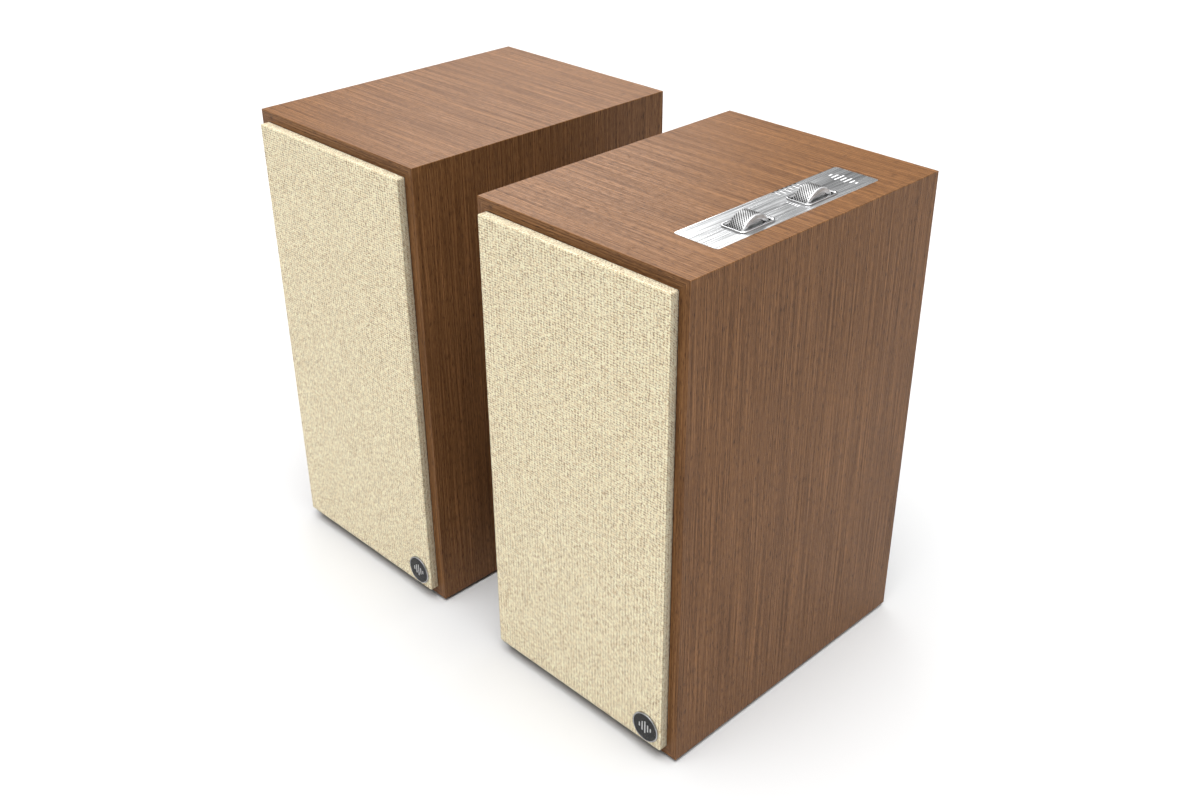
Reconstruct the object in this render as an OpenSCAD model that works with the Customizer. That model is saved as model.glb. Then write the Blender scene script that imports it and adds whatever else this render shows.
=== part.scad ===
// A pair of powered desktop speakers in folded, mitred wood cabinets.
// The primary cabinet, at +X, holds the amplifier and the controls, and drives the secondary one, at -X.
// Origin: midway between the cabinets, at mid-depth, on the surface that they stand on. -Y is the front.

/* [Cabinets] */
// Width of one cabinet
cab_w = 204; // [202:1:220]
// Depth of one cabinet
cab_d = 274; // [270:1:300]
// Height of one cabinet without its feet
cab_h = 404; // [402:1:430]
// Clear space between the two cabinets
gap = 76; // [20:1:300]
// Thickness of the cabinet walls
wall = 15; // [13:1:16]
// Width of the veneered edge around the front and back boards
lip = 9; // [7:1:10]
// Thickness of the front board
baffle_t = 18; // [18:1:20]
// Thickness of the back board
back_t = 15; // [13:1:16]
// Height of the rubber feet
foot_h = 3; // [2:0.5:5]

/* [Grille] */
// How far the cloth stands in front of the cabinet
grille_proud = 8; // [7.5:0.5:12]
// Clearance between the grille and the front board
grille_gap = 0.2; // [0.2:0.1:1.5]
// Thickness of the cloth
cloth_t = 0.8; // [0.6:0.1:1]
// Width of the grille frame's bars
bar_w = 14; // [12:1:15]
// Radius of the round badge
badge_r = 13.1; // [10:0.1:15]
// Thickness of the badge
badge_t = 1.4; // [1:0.1:2]

/* [Drivers] */
// Height of the woofer's centre above the cabinet's underside
woofer_z = 125; // [120:1:130]
// Outer radius of the woofer's flange
woofer_r = 88; // [86:1:90]
// Radius of the woofer's voice coil former
coil_r = 19.3; // [19.3:0.1:19.5]
// Height of the tweeter's centre above the cabinet's underside
tweeter_z = 300; // [298:1:305]
// Outer radius of the horn's flange
horn_r = 62; // [61:0.5:64]
// Radius of the horn's mouth
mouth_r = 53; // [50:0.5:53]
// Height of the bass port's centre above the cabinet's underside
port_z = 330; // [325:1:335]
// Inner radius of the bass port
port_r = 25; // [22:0.5:26]
// Length of the bass port
port_l = 118; // [90:1:125]

/* [Controls] */
// Length of the control plate, front to back
plate_l = 179; // [175:1:185]
// Width of the control plate
plate_w = 39.6; // [39:0.1:42]
// Distance of the control plate's centre from the cabinet's middle
plate_x = 62.2; // [60:0.1:63]
// Distance of the control plate's centre behind the cabinet's front
plate_y = 137.5; // [135:0.5:140]
// Distance of the wheels' centre from the cabinet's middle
wheel_x = 67; // [66:0.1:68]
// Distance of the volume wheel's axle behind the cabinet's front
volume_y = 96.5; // [92:0.5:100]
// Distance of the source wheel's axle behind the cabinet's front
source_y = 166.5; // [162:0.5:170]
// Radius of the thumb wheels
wheel_r = 15.9; // [15:0.1:16]
// Width of the thumb wheels
wheel_w = 14.5; // [13:0.1:14.5]
// Depth of the wheels' axles below the cabinet's top
axle_depth = 7.8; // [7.5:0.1:8.2]
// Number of status lights
light_count = 6; // [2:1:8]

/* [Back] */
// Width of the amplifier plate
amp_w = 150; // [146:1:160]
// Height of the amplifier plate
amp_h = 190; // [188:1:196]
// Height of the amplifier plate's centre above the cabinet's underside
amp_z = 125; // [124:1:126]
// Height of the link socket plate's centre on the secondary cabinet
link_z = 110; // [90:1:130]

/* [Hidden] */
$fn = 96;

primary = 1;
secondary = -1;

// Boards and the hollow
seat = 0.1;
over = 1;
board_w = cab_w - 2 * lip;
board_h = cab_h - 2 * lip;
inner_w = cab_w - 2 * wall;
inner_h = cab_h - 2 * wall;

// Cabinet's place in the pair: the badge is the frontmost point and the ground stud the rearmost
rear_proud = 14;
front_proud = grille_proud + badge_t;
front_y = (front_proud - rear_proud - cab_d) / 2;

// Screws
screw_r = 2;
screw_hole_r = 2.1;
woofer_screw_r = (woofer_r + 74) / 2;
plate_screw_d = 12;
plate_screw_inset = 5;
horn_screw_r = (horn_r + mouth_r) / 2;
woofer_screws = [for (k = [0 : 5]) 30 + 60 * k];
horn_screws = [for (k = [0 : 3]) 45 + 90 * k];

// Grille
magnet_r = 5;
magnet_t = 3;
magnet_inset = 12;
grille_corner_r = 1.8;
frame_corner_r = grille_corner_r - cloth_t;
frame_w = board_w - 2 * cloth_t;
frame_h = board_h - 2 * cloth_t;
frame_t = grille_proud - cloth_t - grille_gap;
crossbar_z = 226;
gusset = 32;
badge_x = board_w / 2 - 15.2;
badge_z = lip + 15.4;
badge_pin_r = 1.5;
badge_pin_l = 3.5;

// Woofer, as depths behind the front of its flange
flange_t = 5;
basket_mouth_r = 70;
landing_r = 74.3;
landing_d = 3;
roll_r = 65;
roll_size = 5.2;
skin_t = 0.8;
cone_rim_r = 60.3;
cone_rim_d = landing_d + 0.1;
cone_t = 1.2;
neck_r = coil_r + 0.1;
neck_d = 32;
cap_r = 24;
spider_d = 40;
spider_r = 50;
basket_d = 60;
magnet_front_d = 66;
magnet_back_d = 86;
motor_d = 92;

// Tweeter, as depths behind the horn's mouth
horn_flange_t = 4;
horn_d = 34;
throat_r = 14;
dome_r = 12.6;
dome_h = 5;
dome_d = 36.2;
tweeter_plate_d = 37.4;
tweeter_gap_d = 41.4;
tweeter_back_d = 50;
tweeter_end_d = 54;
tweeter_r = 30;

// Controls, as depths below the cabinet's top
plate_t = 2;
window_l = 158;
window_w = 32.6;
bezel_l = 37;
bezel_w = 22.4;
slot_l = 30.5;
slot_w = 15.9;
bezel_h = 1.2;
collar_t = 0.7;
lights_y = source_y - 1.4;
light_pitch = 4.9;
light_l = 2.4;
light_w = 1.2;
rail_t = 3;
rail_depth = 14;
rail_gap = 1;
axle_r = 2;
axle_bore_r = 2.05;
encoder_l = 7.8;
board_depth = 26.5;
pcb_t = 1.6;
carrier_front = 66;
carrier_back = 202;

// Amplifier plate, as distances out from the cabinet's back
sheet_t = 2;
cutout_w = 130;
cutout_h = 170;
pcb_y = 16.4;
jack_row_z = 188;
rca_places = [[-20, jack_row_z + 9], [-20, jack_row_z - 9], [6, jack_row_z]];
aux_place = [28, jack_row_z];
optical_place = [50, jack_row_z];
link_place = [-50, jack_row_z];
slider_place = [-20, 150];
ground_place = [6, 150];
inlet_place = [34, 75];
inlet_face = sheet_t + 2.5;
rca_r = 4.15;
rca_l = 9;
aux_bore_r = 1.8;
link_r = 8.5;
link_bore_r = 7;
link_plate_w = 76;
link_plate_h = 56;
rocker_place = [inlet_place.x, inlet_place.y + 17];
rocker_tilt = 7;
rocker_pin_r = 1.5;
rocker_pin_d = 5;
slider_travel = 4;

module in_cabinet(side) {
  translate([side * (cab_w + gap) / 2, front_y, foot_h]) children();
}

// Turns a shape drawn upwards so that it points from the front face into the cabinet
module into_front(x, z) {
  translate([x, 0, z]) rotate([-90, 0, 0]) children();
}

// Turns a shape drawn upwards so that it points straight out of the cabinet's back
module out_of_back(x, z) {
  translate([x, cab_d, z]) rotate([-90, 0, 0]) children();
}

module rounded_rect(w, h, r) {
  square([w - 2 * r, h], center = true);
  square([w, h - 2 * r], center = true);
  for (sx = [-1, 1], sy = [-1, 1])
    translate([sx * (w / 2 - r), sy * (h / 2 - r)]) circle(r = r);
}

module ring(outer, inner, from, to) {
  translate([0, 0, from]) difference() {
    cylinder(r = outer, h = to - from);
    translate([0, 0, -over]) cylinder(r = inner, h = to - from + 2 * over);
  }
}

module tube_block(w, h, r, from, to) {
  translate([0, 0, from]) linear_extrude(to - from) rounded_rect(w, h, r);
}

// ---- cabinet ----

module board(thickness, front) {
  translate([-board_w / 2 + seat, front, lip + seat])
    cube([board_w - 2 * seat, thickness, board_h - 2 * seat]);
}

module control_window() {
  translate([plate_x, plate_y, cab_h]) {
    translate([0, 0, -plate_t]) linear_extrude(plate_t + over)
      rounded_rect(plate_w + 2 * seat, plate_l + 2 * seat, 3);
    translate([0, 0, -wall - over]) linear_extrude(wall + over) rounded_rect(window_w, window_l, 2);
  }
}

module cabinet_wrap(side) {
  color("peru") in_cabinet(side) difference() {
    translate([-cab_w / 2, 0, 0]) cube([cab_w, cab_d, cab_h]);
    translate([-inner_w / 2, -over, wall]) cube([inner_w, cab_d + 2 * over, inner_h]);
    translate([-board_w / 2, -over, lip]) cube([board_w, baffle_t + over, board_h]);
    translate([-board_w / 2, cab_d - back_t, lip]) cube([board_w, back_t + over, board_h]);
    if (side == primary) control_window();
  }
}

module magnet_places() {
  for (sx = [-1, 1], z = [lip + magnet_inset, cab_h - lip - magnet_inset])
    into_front(sx * (board_w / 2 - magnet_inset), z) children();
}

module screw_circle(z, r, angles) {
  into_front(0, z) for (a = angles) rotate(a) translate([r, 0, 0]) children();
}

module baffle(side) {
  woofer_hole_r = 74.5;
  horn_hole_r = 52;
  driver_screw_d = 17;
  color("dimgray") in_cabinet(side) difference() {
    board(baffle_t, 0);
    into_front(0, woofer_z) {
      translate([0, 0, -over]) cylinder(r = woofer_r + seat, h = flange_t + over);
      cylinder(r = woofer_hole_r, h = baffle_t + over);
    }
    into_front(0, tweeter_z) {
      translate([0, 0, -over]) cylinder(r = horn_r + seat, h = horn_flange_t + over);
      cylinder(r = horn_hole_r, h = baffle_t + over);
    }
    magnet_places() translate([0, 0, -over]) cylinder(r = magnet_r + 0.05, h = magnet_t + over);
    screw_circle(woofer_z, woofer_screw_r, woofer_screws) cylinder(r = screw_hole_r, h = driver_screw_d);
    screw_circle(tweeter_z, horn_screw_r, horn_screws) cylinder(r = screw_hole_r, h = driver_screw_d);
  }
}

module plate_screw_places(w, h, z, rows) {
  for (sx = [-1, 1], row = rows)
    out_of_back(sx * (w / 2 - plate_screw_inset), z + row * (h / 2 - plate_screw_inset)) children();
}

module amp_screw_places() {
  plate_screw_places(amp_w, amp_h, amp_z, [-1, 0, 1]) children();
}

module link_screw_places() {
  plate_screw_places(link_plate_w, link_plate_h, link_z, [-1, 1]) children();
}

module back_panel(side) {
  flare_hole_r = port_r + 14.2;
  color("saddlebrown") in_cabinet(side) difference() {
    board(back_t, cab_d - back_t);
    out_of_back(0, port_z)
      translate([0, 0, -back_t - over]) cylinder(r = flare_hole_r, h = back_t + 2 * over);
    if (side == primary) {
      out_of_back(0, amp_z) tube_block(cutout_w, cutout_h, 4, -back_t - over, over);
      amp_screw_places()
        translate([0, 0, -plate_screw_d]) cylinder(r = screw_hole_r, h = plate_screw_d + over);
    } else {
      out_of_back(0, link_z) tube_block(link_plate_w - 20, link_plate_h - 18, 4, -back_t - over, over);
      link_screw_places()
        translate([0, 0, -plate_screw_d]) cylinder(r = screw_hole_r, h = plate_screw_d + over);
    }
  }
}

module brace(side) {
  brace_z = 218;
  window = [116, 176];
  color("burlywood") in_cabinet(side) difference() {
    translate([-inner_w / 2 + seat, baffle_t + seat, brace_z])
      cube([inner_w - 2 * seat, cab_d - baffle_t - back_t - 2 * seat, wall]);
    translate([0, cab_d / 2, brace_z - over]) linear_extrude(wall + 2 * over)
      rounded_rect(window.x, window.y, 14);
  }
}

module feet(side) {
  foot_r = 8;
  inset = 18;
  color("black") in_cabinet(side)
    for (sx = [-1, 1], y = [inset, cab_d - inset])
      translate([sx * (cab_w / 2 - inset), y, -foot_h]) rotate_extrude()
        polygon([[0, 0], [foot_r - 1, 0], [foot_r, 1], [foot_r, foot_h], [0, foot_h]]);
}

// ---- bass port ----

// Rounds a port's mouth: radius gained over the last stretch of the tube
function flare(t, size) = size * (1 - cos(90 * t));

module port_tube(side) {
  steps = 8;
  size = 12;
  skin = 2;
  inner_line = [for (k = [0 : steps]) [port_r + flare(k / steps, size), -size + size * sin(90 * k / steps)]];
  outer_line = [for (k = [steps : -1 : 0]) inner_line[k] + [skin, 0]];
  color("black") in_cabinet(side) out_of_back(0, port_z) {
    rotate_extrude() polygon(concat([[port_r, -port_l]], inner_line, outer_line, [[port_r + skin, -port_l]]));
    ring(port_r + size + 5, port_r + size, 0, sheet_t);
  }
}

// ---- woofer ----

module woofer_basket(side) {
  base_r = 49;
  base_t = 4;
  base_hole_r = 21;
  wall_t = 3;
  shelf_d = spider_d + 0.6;
  shelf_w = 3.5;
  window_d = [baffle_t + 0.5, 36.5];
  window_w = 52;
  terminal = [6, 10, 8];
  color("darkslategray") in_cabinet(side) into_front(0, woofer_z) difference() {
    union() {
      rotate_extrude() polygon([
        [basket_mouth_r, landing_d], [landing_r, landing_d], [landing_r, 0], [woofer_r, 0],
        [woofer_r, flange_t], [basket_mouth_r + wall_t, flange_t], [base_r, basket_d - base_t],
        [base_r, basket_d], [base_hole_r, basket_d], [base_hole_r, basket_d - base_t],
        [base_r - wall_t, basket_d - base_t], [basket_mouth_r, flange_t]
      ]);
      ring(spider_r + shelf_w, spider_r - shelf_w, shelf_d, shelf_d + 2);
      translate([-spider_r - terminal.x, -terminal.y / 2, 44]) cube(terminal);
    }
    for (a = woofer_screws) rotate(a) translate([woofer_screw_r, 0, -over]) {
      cylinder(r = screw_hole_r, h = flange_t + 2 * over);
      cylinder(r = 4.1, h = 2.2 + over);
    }
    for (a = [0 : 90 : 270])
      rotate(a) translate([30, -window_w / 2, window_d[0]]) cube([60, window_w, window_d[1] - window_d[0]]);
  }
}

module woofer_motor(side) {
  front_plate_r = 45;
  magnet_outer_r = 50;
  magnet_inner_r = 24;
  back_plate_r = 47;
  vent_r = 6;
  coil_room = 1;
  color("gray") in_cabinet(side) into_front(0, woofer_z) {
    ring(front_plate_r, coil_r + coil_room, basket_d, magnet_front_d);
    ring(magnet_outer_r, magnet_inner_r, magnet_front_d, magnet_back_d);
    ring(back_plate_r, vent_r, magnet_back_d, motor_d);
    ring(coil_r - coil_room, vent_r, basket_d + 1, magnet_back_d);
  }
}

// Depth of the cone's front at a radius: a gently flared cone
function cone_depth(r) =
  cone_rim_d + (neck_d - cone_rim_d) * pow((cone_rim_r - r) / (cone_rim_r - neck_r), 0.9);

module woofer_cone(side) {
  steps = 8;
  cap_h = 8;
  radii = [for (k = [0 : steps]) neck_r + (cone_rim_r - neck_r) * k / steps];
  front_line = [for (r = radii) [r, cone_depth(r)]];
  back_line = [for (k = [steps : -1 : 0]) front_line[k] + [0, cone_t]];
  cap_d = cone_depth(cap_r) + cone_t / 2;
  cap_line = [for (k = [0 : 6]) [cap_r * sin(15 * k), cap_d - cap_h * cos(15 * k)]];
  color("black") in_cabinet(side) into_front(0, woofer_z) rotate_extrude() {
    polygon(concat(front_line, back_line));
    polygon(concat(cap_line, [for (k = [6 : -1 : 0]) cap_line[k] + [0, cone_t]]));
  }
}

module voice_coil(side) {
  winding_t = 0.5;
  winding_d = [57, 69];
  former_end_d = 71;
  color("darkgoldenrod") in_cabinet(side) into_front(0, woofer_z) {
    ring(coil_r, coil_r - winding_t, neck_d - 2, former_end_d);
    ring(coil_r + winding_t, coil_r - winding_t / 2, winding_d[0], winding_d[1]);
  }
}

module woofer_surround(side) {
  glue_w = 3.5;
  color("black") in_cabinet(side) into_front(0, woofer_z) rotate_extrude() {
    difference() {
      translate([roll_r, landing_d]) circle(r = roll_size);
      translate([roll_r, landing_d]) circle(r = roll_size - skin_t);
      translate([roll_r - 2 * roll_size, landing_d]) square([4 * roll_size, 2 * roll_size]);
    }
    translate([roll_r + roll_size - skin_t, landing_d - skin_t])
      square([landing_r - seat - roll_r - roll_size + skin_t, skin_t]);
    translate([cone_rim_r - glue_w, landing_d - skin_t])
      square([roll_r - roll_size + skin_t - cone_rim_r + glue_w, skin_t]);
  }
}

module woofer_spider(side) {
  waves = 4;
  steps = 32;
  height = 1.2;
  line = [
    for (k = [0 : steps])
      let (rise = height * (1 - cos(360 * waves * k / steps)))
        [neck_r + (spider_r - neck_r) * k / steps, spider_d - skin_t - rise]
  ];
  color("orange") in_cabinet(side) into_front(0, woofer_z) rotate_extrude()
    polygon(concat(line, [for (k = [steps : -1 : 0]) line[k] + [0, skin_t]]));
}

// ---- tweeter ----

function horn_radius(d) = mouth_r * pow(throat_r / mouth_r, d / horn_d);

module tweeter_horn(side) {
  steps = 12;
  skin = 2.5;
  bell = [for (k = [0 : steps]) [horn_radius(horn_d * k / steps), horn_d * k / steps]];
  back = [for (k = [steps : -1 : 1]) bell[k] + [skin, 0]];
  color("black") in_cabinet(side) into_front(0, tweeter_z) difference() {
    union() {
      rotate_extrude() polygon(concat(bell, back, [[mouth_r, horn_flange_t], [mouth_r, 0]]));
      rotate_extrude() polygon([
        [horn_radius(horn_flange_t), horn_flange_t / 2], [mouth_r, 0], [horn_r, 0], [horn_r, horn_flange_t],
        [horn_radius(horn_flange_t), horn_flange_t]
      ]);
      ring(tweeter_r, throat_r, horn_d - 2, horn_d);
      ring(tweeter_r, throat_r + 4, horn_d, tweeter_plate_d);
    }
    for (a = horn_screws) rotate(a) translate([horn_screw_r, 0, -over]) {
      cylinder(r = screw_hole_r, h = horn_flange_t + 2 * over);
      cylinder(r = 3.6, h = 2 + over);
    }
  }
}

module tweeter_dome(side) {
  skin = 0.5;
  rim_r = 16.8;
  coil_end_d = 44;
  sphere_r = (dome_r * dome_r + dome_h * dome_h) / (2 * dome_h);
  color("silver") in_cabinet(side) into_front(0, tweeter_z) {
    rotate_extrude() difference() {
      translate([0, dome_d - dome_h + sphere_r]) circle(r = sphere_r);
      translate([0, dome_d - dome_h + sphere_r]) circle(r = sphere_r - skin);
      translate([-2 * sphere_r, -sphere_r]) square([2 * sphere_r, 4 * sphere_r]);
      translate([-sphere_r, dome_d]) square([3 * sphere_r, 3 * sphere_r]);
    }
    ring(dome_r + 0.2, dome_r - 0.4, dome_d - skin, coil_end_d);
    ring(rim_r, dome_r - 0.4, dome_d, dome_d + skin);
  }
}

module tweeter_motor(side) {
  pole_r = 11.6;
  pole_d = 38;
  magnet_inner_r = 17;
  color("gray") in_cabinet(side) into_front(0, tweeter_z) {
    ring(tweeter_r, dome_r + 1, tweeter_plate_d, tweeter_gap_d);
    ring(tweeter_r, magnet_inner_r, tweeter_gap_d, tweeter_back_d);
    translate([0, 0, tweeter_back_d]) cylinder(r = tweeter_r, h = tweeter_end_d - tweeter_back_d);
    translate([0, 0, pole_d]) cylinder(r = pole_r, h = tweeter_back_d - pole_d);
  }
}

// ---- fasteners and magnets ----

module sunk_screw(head_r, head_t, l) {
  cylinder(r = head_r, h = head_t);
  cylinder(r = screw_r, h = l);
}

module raised_screw() {
  cylinder(r = screw_r, h = sheet_t + 0.5);
  translate([0, 0, -10]) cylinder(r = screw_r, h = 11);
  translate([0, 0, sheet_t]) cylinder(r = 3.6, h = 1.6);
}

module screws(side) {
  color("dimgray") in_cabinet(side) {
    screw_circle(woofer_z, woofer_screw_r, woofer_screws) translate([0, 0, 0.4]) sunk_screw(4, 1.8, 15);
    screw_circle(tweeter_z, horn_screw_r, horn_screws) translate([0, 0, 0.3]) sunk_screw(3.5, 1.7, 14);
    if (side == primary)
      amp_screw_places() raised_screw();
    else
      link_screw_places() raised_screw();
  }
}

module baffle_magnets(side) {
  color("silver") in_cabinet(side) magnet_places() cylinder(r = magnet_r, h = magnet_t);
}

module grille_magnets(side) {
  color("silver") in_cabinet(side)
    magnet_places() translate([0, 0, -magnet_t - seat]) cylinder(r = magnet_r, h = magnet_t);
}

// ---- grille ----

module badge_place() {
  into_front(badge_x, badge_z) translate([0, 0, -grille_proud]) children();
}

module grille_frame(side) {
  lower_h = crossbar_z - bar_w / 2 - lip - cloth_t - bar_w;
  upper_h = frame_h - lower_h - 3 * bar_w;
  lower_z = lip + cloth_t + bar_w + lower_h / 2;
  upper_z = cab_h - lip - cloth_t - bar_w - upper_h / 2;
  window = frame_w - 2 * bar_w;
  color("black") in_cabinet(side) difference() {
    into_front(0, cab_h / 2) tube_block(frame_w, frame_h, frame_corner_r, -frame_t - grille_gap, -grille_gap);
    difference() {
      union() {
        into_front(0, lower_z) tube_block(window, lower_h, 2, -grille_proud - over, over);
        into_front(0, upper_z) tube_block(window, upper_h, 2, -grille_proud - over, over);
      }
      for (sx = [-1, 1], sz = [-1, 1])
        translate([sx * frame_w / 2, 0, cab_h / 2 + sz * frame_h / 2]) rotate([90, 0, 0])
          translate([0, 0, -over]) linear_extrude(grille_proud + 3 * over)
            polygon([[0, 0], [-sx * gusset * 1.4, 0], [0, -sz * gusset * 1.4]]);
    }
    magnet_places()
      translate([0, 0, -magnet_t - 2 * seat]) cylinder(r = magnet_r + 0.05, h = magnet_t + over);
    badge_place() cylinder(r = badge_pin_r + 0.05, h = badge_pin_l + seat);
  }
}

module grille_cloth(side) {
  color("wheat") in_cabinet(side) difference() {
    into_front(0, cab_h / 2) tube_block(board_w, board_h, grille_corner_r, -grille_proud, -grille_gap);
    into_front(0, cab_h / 2) tube_block(frame_w, frame_h, frame_corner_r, -grille_proud + cloth_t, over);
    badge_place() translate([0, 0, -over]) cylinder(r = badge_pin_r + 0.05, h = 2 * over + cloth_t);
  }
}

module grille_badge(side) {
  rim_w = 1.5;
  color("black") in_cabinet(side) badge_place() {
    translate([0, 0, -badge_t]) difference() {
      cylinder(r = badge_r, h = badge_t);
      translate([0, 0, -over]) cylinder(r = badge_r - rim_w, h = over + 0.4);
    }
    translate([0, 0, -seat]) cylinder(r = badge_pin_r, h = badge_pin_l + seat);
  }
}

// ---- controls on the primary cabinet's top ----

// Moves to a wheel's place on the cabinet's top
module at_wheel(y) {
  in_cabinet(primary) translate([wheel_x, y, cab_h]) children();
}

module light_places() {
  first_y = lights_y - (light_count - 1) / 2 * light_pitch;
  for (k = [0 : light_count - 1])
    translate([plate_x - plate_w / 2 + light_w / 2, first_y + k * light_pitch, cab_h]) children();
}

module control_plate() {
  color("gainsboro") difference() {
    in_cabinet(primary) translate([plate_x, plate_y, cab_h - plate_t])
      linear_extrude(plate_t) rounded_rect(plate_w, plate_l, 3);
    for (y = [volume_y, source_y])
      at_wheel(y) translate([0, 0, -plate_t - over]) linear_extrude(plate_t + 2 * over)
        rounded_rect(slot_w + 2 * collar_t + 2 * seat, slot_l + 2 * collar_t + 2 * seat, 2);
    in_cabinet(primary) light_places()
      cube([light_w + 2 * seat, light_l + 2 * seat, 3 * plate_t], center = true);
  }
}

module wheel_bezels() {
  color("silver") for (y = [volume_y, source_y]) at_wheel(y) difference() {
    union() {
      linear_extrude(0.7) rounded_rect(bezel_w, bezel_l, 4);
      linear_extrude(bezel_h) rounded_rect(bezel_w - 1.2, bezel_l - 1.2, 3.4);
      translate([0, 0, -plate_t]) linear_extrude(plate_t + 0.5)
        rounded_rect(slot_w + 2 * collar_t, slot_l + 2 * collar_t, 1.9);
    }
    translate([0, 0, -plate_t - over]) linear_extrude(plate_t + bezel_h + 2 * over)
      rounded_rect(slot_w, slot_l, 1.2);
  }
}

module status_lights() {
  color("darkslategray") in_cabinet(primary) light_places()
    translate([0, 0, -plate_t / 2]) cube([light_w, light_l, plate_t], center = true);
}

module wheel_carrier() {
  inner = wheel_w / 2 + rail_gap;
  bridge_l = 6;
  bridge_h = 5;
  post_r = 2;
  bridges = [carrier_front, (volume_y + source_y - bridge_l) / 2, carrier_back - bridge_l];
  color("black") in_cabinet(primary) translate([wheel_x, 0, cab_h]) difference() {
    union() {
      for (x = [-inner - rail_t, inner])
        translate([x, carrier_front, -rail_depth])
          cube([rail_t, carrier_back - carrier_front, rail_depth - plate_t]);
      for (y = bridges)
        translate([-inner - rail_t / 2, y, -rail_depth]) cube([2 * inner + rail_t, bridge_l, bridge_h]);
      for (sx = [-1, 1], y = [carrier_front + 3, carrier_back - 3])
        translate([sx * (inner - 1), y, -board_depth]) cylinder(r = post_r, h = board_depth - rail_depth + 1);
    }
    for (y = [volume_y, source_y])
      translate([-wheel_w, y, -axle_depth]) rotate([0, 90, 0]) cylinder(r = axle_bore_r, h = 2 * wheel_w);
  }
}

module control_board() {
  board_left = plate_x - window_w / 2 + 0.8;
  board_right = wheel_x + wheel_w / 2 + rail_gap + rail_t;
  rail_left = wheel_x - wheel_w / 2 - rail_gap - rail_t;
  encoder_h = 22;
  encoder_w = 12;
  color("darkgreen") in_cabinet(primary) translate([0, 0, cab_h]) {
    translate([board_left, carrier_front - 2, -board_depth - pcb_t])
      cube([board_right - board_left, carrier_back - carrier_front + 4, pcb_t]);
    for (y = [volume_y, source_y]) difference() {
      translate([rail_left - seat - encoder_l, y - encoder_w / 2, -board_depth - pcb_t / 2])
        cube([encoder_l, encoder_w, encoder_h]);
      translate([rail_left - 6, y, -axle_depth]) rotate([0, 90, 0]) cylinder(r = 1, h = 8);
    }
  }
}

module thumb_wheel(y) {
  bevel = 0.9;
  rim = 3.2;
  dish_d = 1.4;
  dish_r = wheel_r - bevel - rim;
  axle_l = wheel_w / 2 + rail_gap + rail_t;
  half = wheel_w / 2;
  color("silver") at_wheel(y) translate([0, 0, -axle_depth]) rotate([0, 90, 0]) {
    rotate_extrude() polygon([
      [0, -half + dish_d], [dish_r, -half + dish_d], [dish_r + 0.8, -half], [wheel_r - bevel, -half],
      [wheel_r, -half + bevel], [wheel_r, half - bevel], [wheel_r - bevel, half], [dish_r + 0.8, half],
      [dish_r, half - dish_d], [0, half - dish_d]
    ]);
    translate([0, 0, -axle_l]) cylinder(r = axle_r, h = 2 * axle_l);
  }
}

// ---- back of the primary cabinet ----

module amplifier_plate() {
  hole_gap = 0.25;
  color("dimgray") in_cabinet(primary) difference() {
    out_of_back(0, amp_z) tube_block(amp_w, amp_h, 4, 0, sheet_t);
    for (p = rca_places)
      out_of_back(p.x, p.y) translate([0, 0, -over]) cylinder(r = rca_r + hole_gap, h = sheet_t + 2 * over);
    out_of_back(aux_place.x, aux_place.y) translate([0, 0, -over]) cylinder(r = 3.2, h = sheet_t + 2 * over);
    out_of_back(optical_place.x, optical_place.y) tube_block(10.4, 10.4, 1, -over, sheet_t + over);
    out_of_back(link_place.x, link_place.y)
      translate([0, 0, -over]) cylinder(r = link_r + hole_gap, h = sheet_t + 2 * over);
    out_of_back(slider_place.x, slider_place.y)
      tube_block(slider_travel + 5, 5.4, 0.6, -over, sheet_t + over);
    out_of_back(ground_place.x, ground_place.y)
      translate([0, 0, -over]) cylinder(r = 2.2, h = sheet_t + 2 * over);
    out_of_back(inlet_place.x, inlet_place.y) tube_block(46, 58, 2, -over, sheet_t + over);
    amp_screw_places() translate([0, 0, -over]) cylinder(r = screw_hole_r, h = sheet_t + 2 * over);
  }
}

// A circuit board with three tall capacitors, a heat sink and a plug for the leads
module amplifier_board() {
  pcb_w = 126;
  pcb_h = 74;
  pcb_z = 168;
  capacitor_r = 9;
  capacitor_l = 25;
  heat_sink = [60, 22, 22];
  plug = [14, 10, 8];
  top = -pcb_y - pcb_t;
  root = top + 0.1;
  color("darkgreen") in_cabinet(primary) {
    out_of_back(0, pcb_z) tube_block(pcb_w, pcb_h, 1, top, -pcb_y);
    for (x = [-12, 12, 36])
      out_of_back(x, 150)
        translate([0, 0, top - capacitor_l]) cylinder(r = capacitor_r, h = capacitor_l + 0.1);
    out_of_back(20, 190) tube_block(heat_sink.x, heat_sink.y, 0.5, top - heat_sink.z, root);
    out_of_back(-45, 195) tube_block(plug.x, plug.y, 0.5, top - plug.z, root);
  }
}

// A laminated core with a mounting foot, and the winding through its middle
module power_transformer() {
  place = [-42, 205];
  core = [60, 40, 50];
  foot = [76, 28, 3];
  winding = [34, 60, 26];
  winding_z = 12;
  color("slategray") in_cabinet(primary) translate([place.x, place.y, wall]) {
    translate([-core.x / 2, -core.y / 2, 0]) cube(core);
    translate([-foot.x / 2, -foot.y / 2, 0]) cube(foot);
    translate([-winding.x / 2, -winding.y / 2, winding_z]) cube(winding);
  }
}

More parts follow.
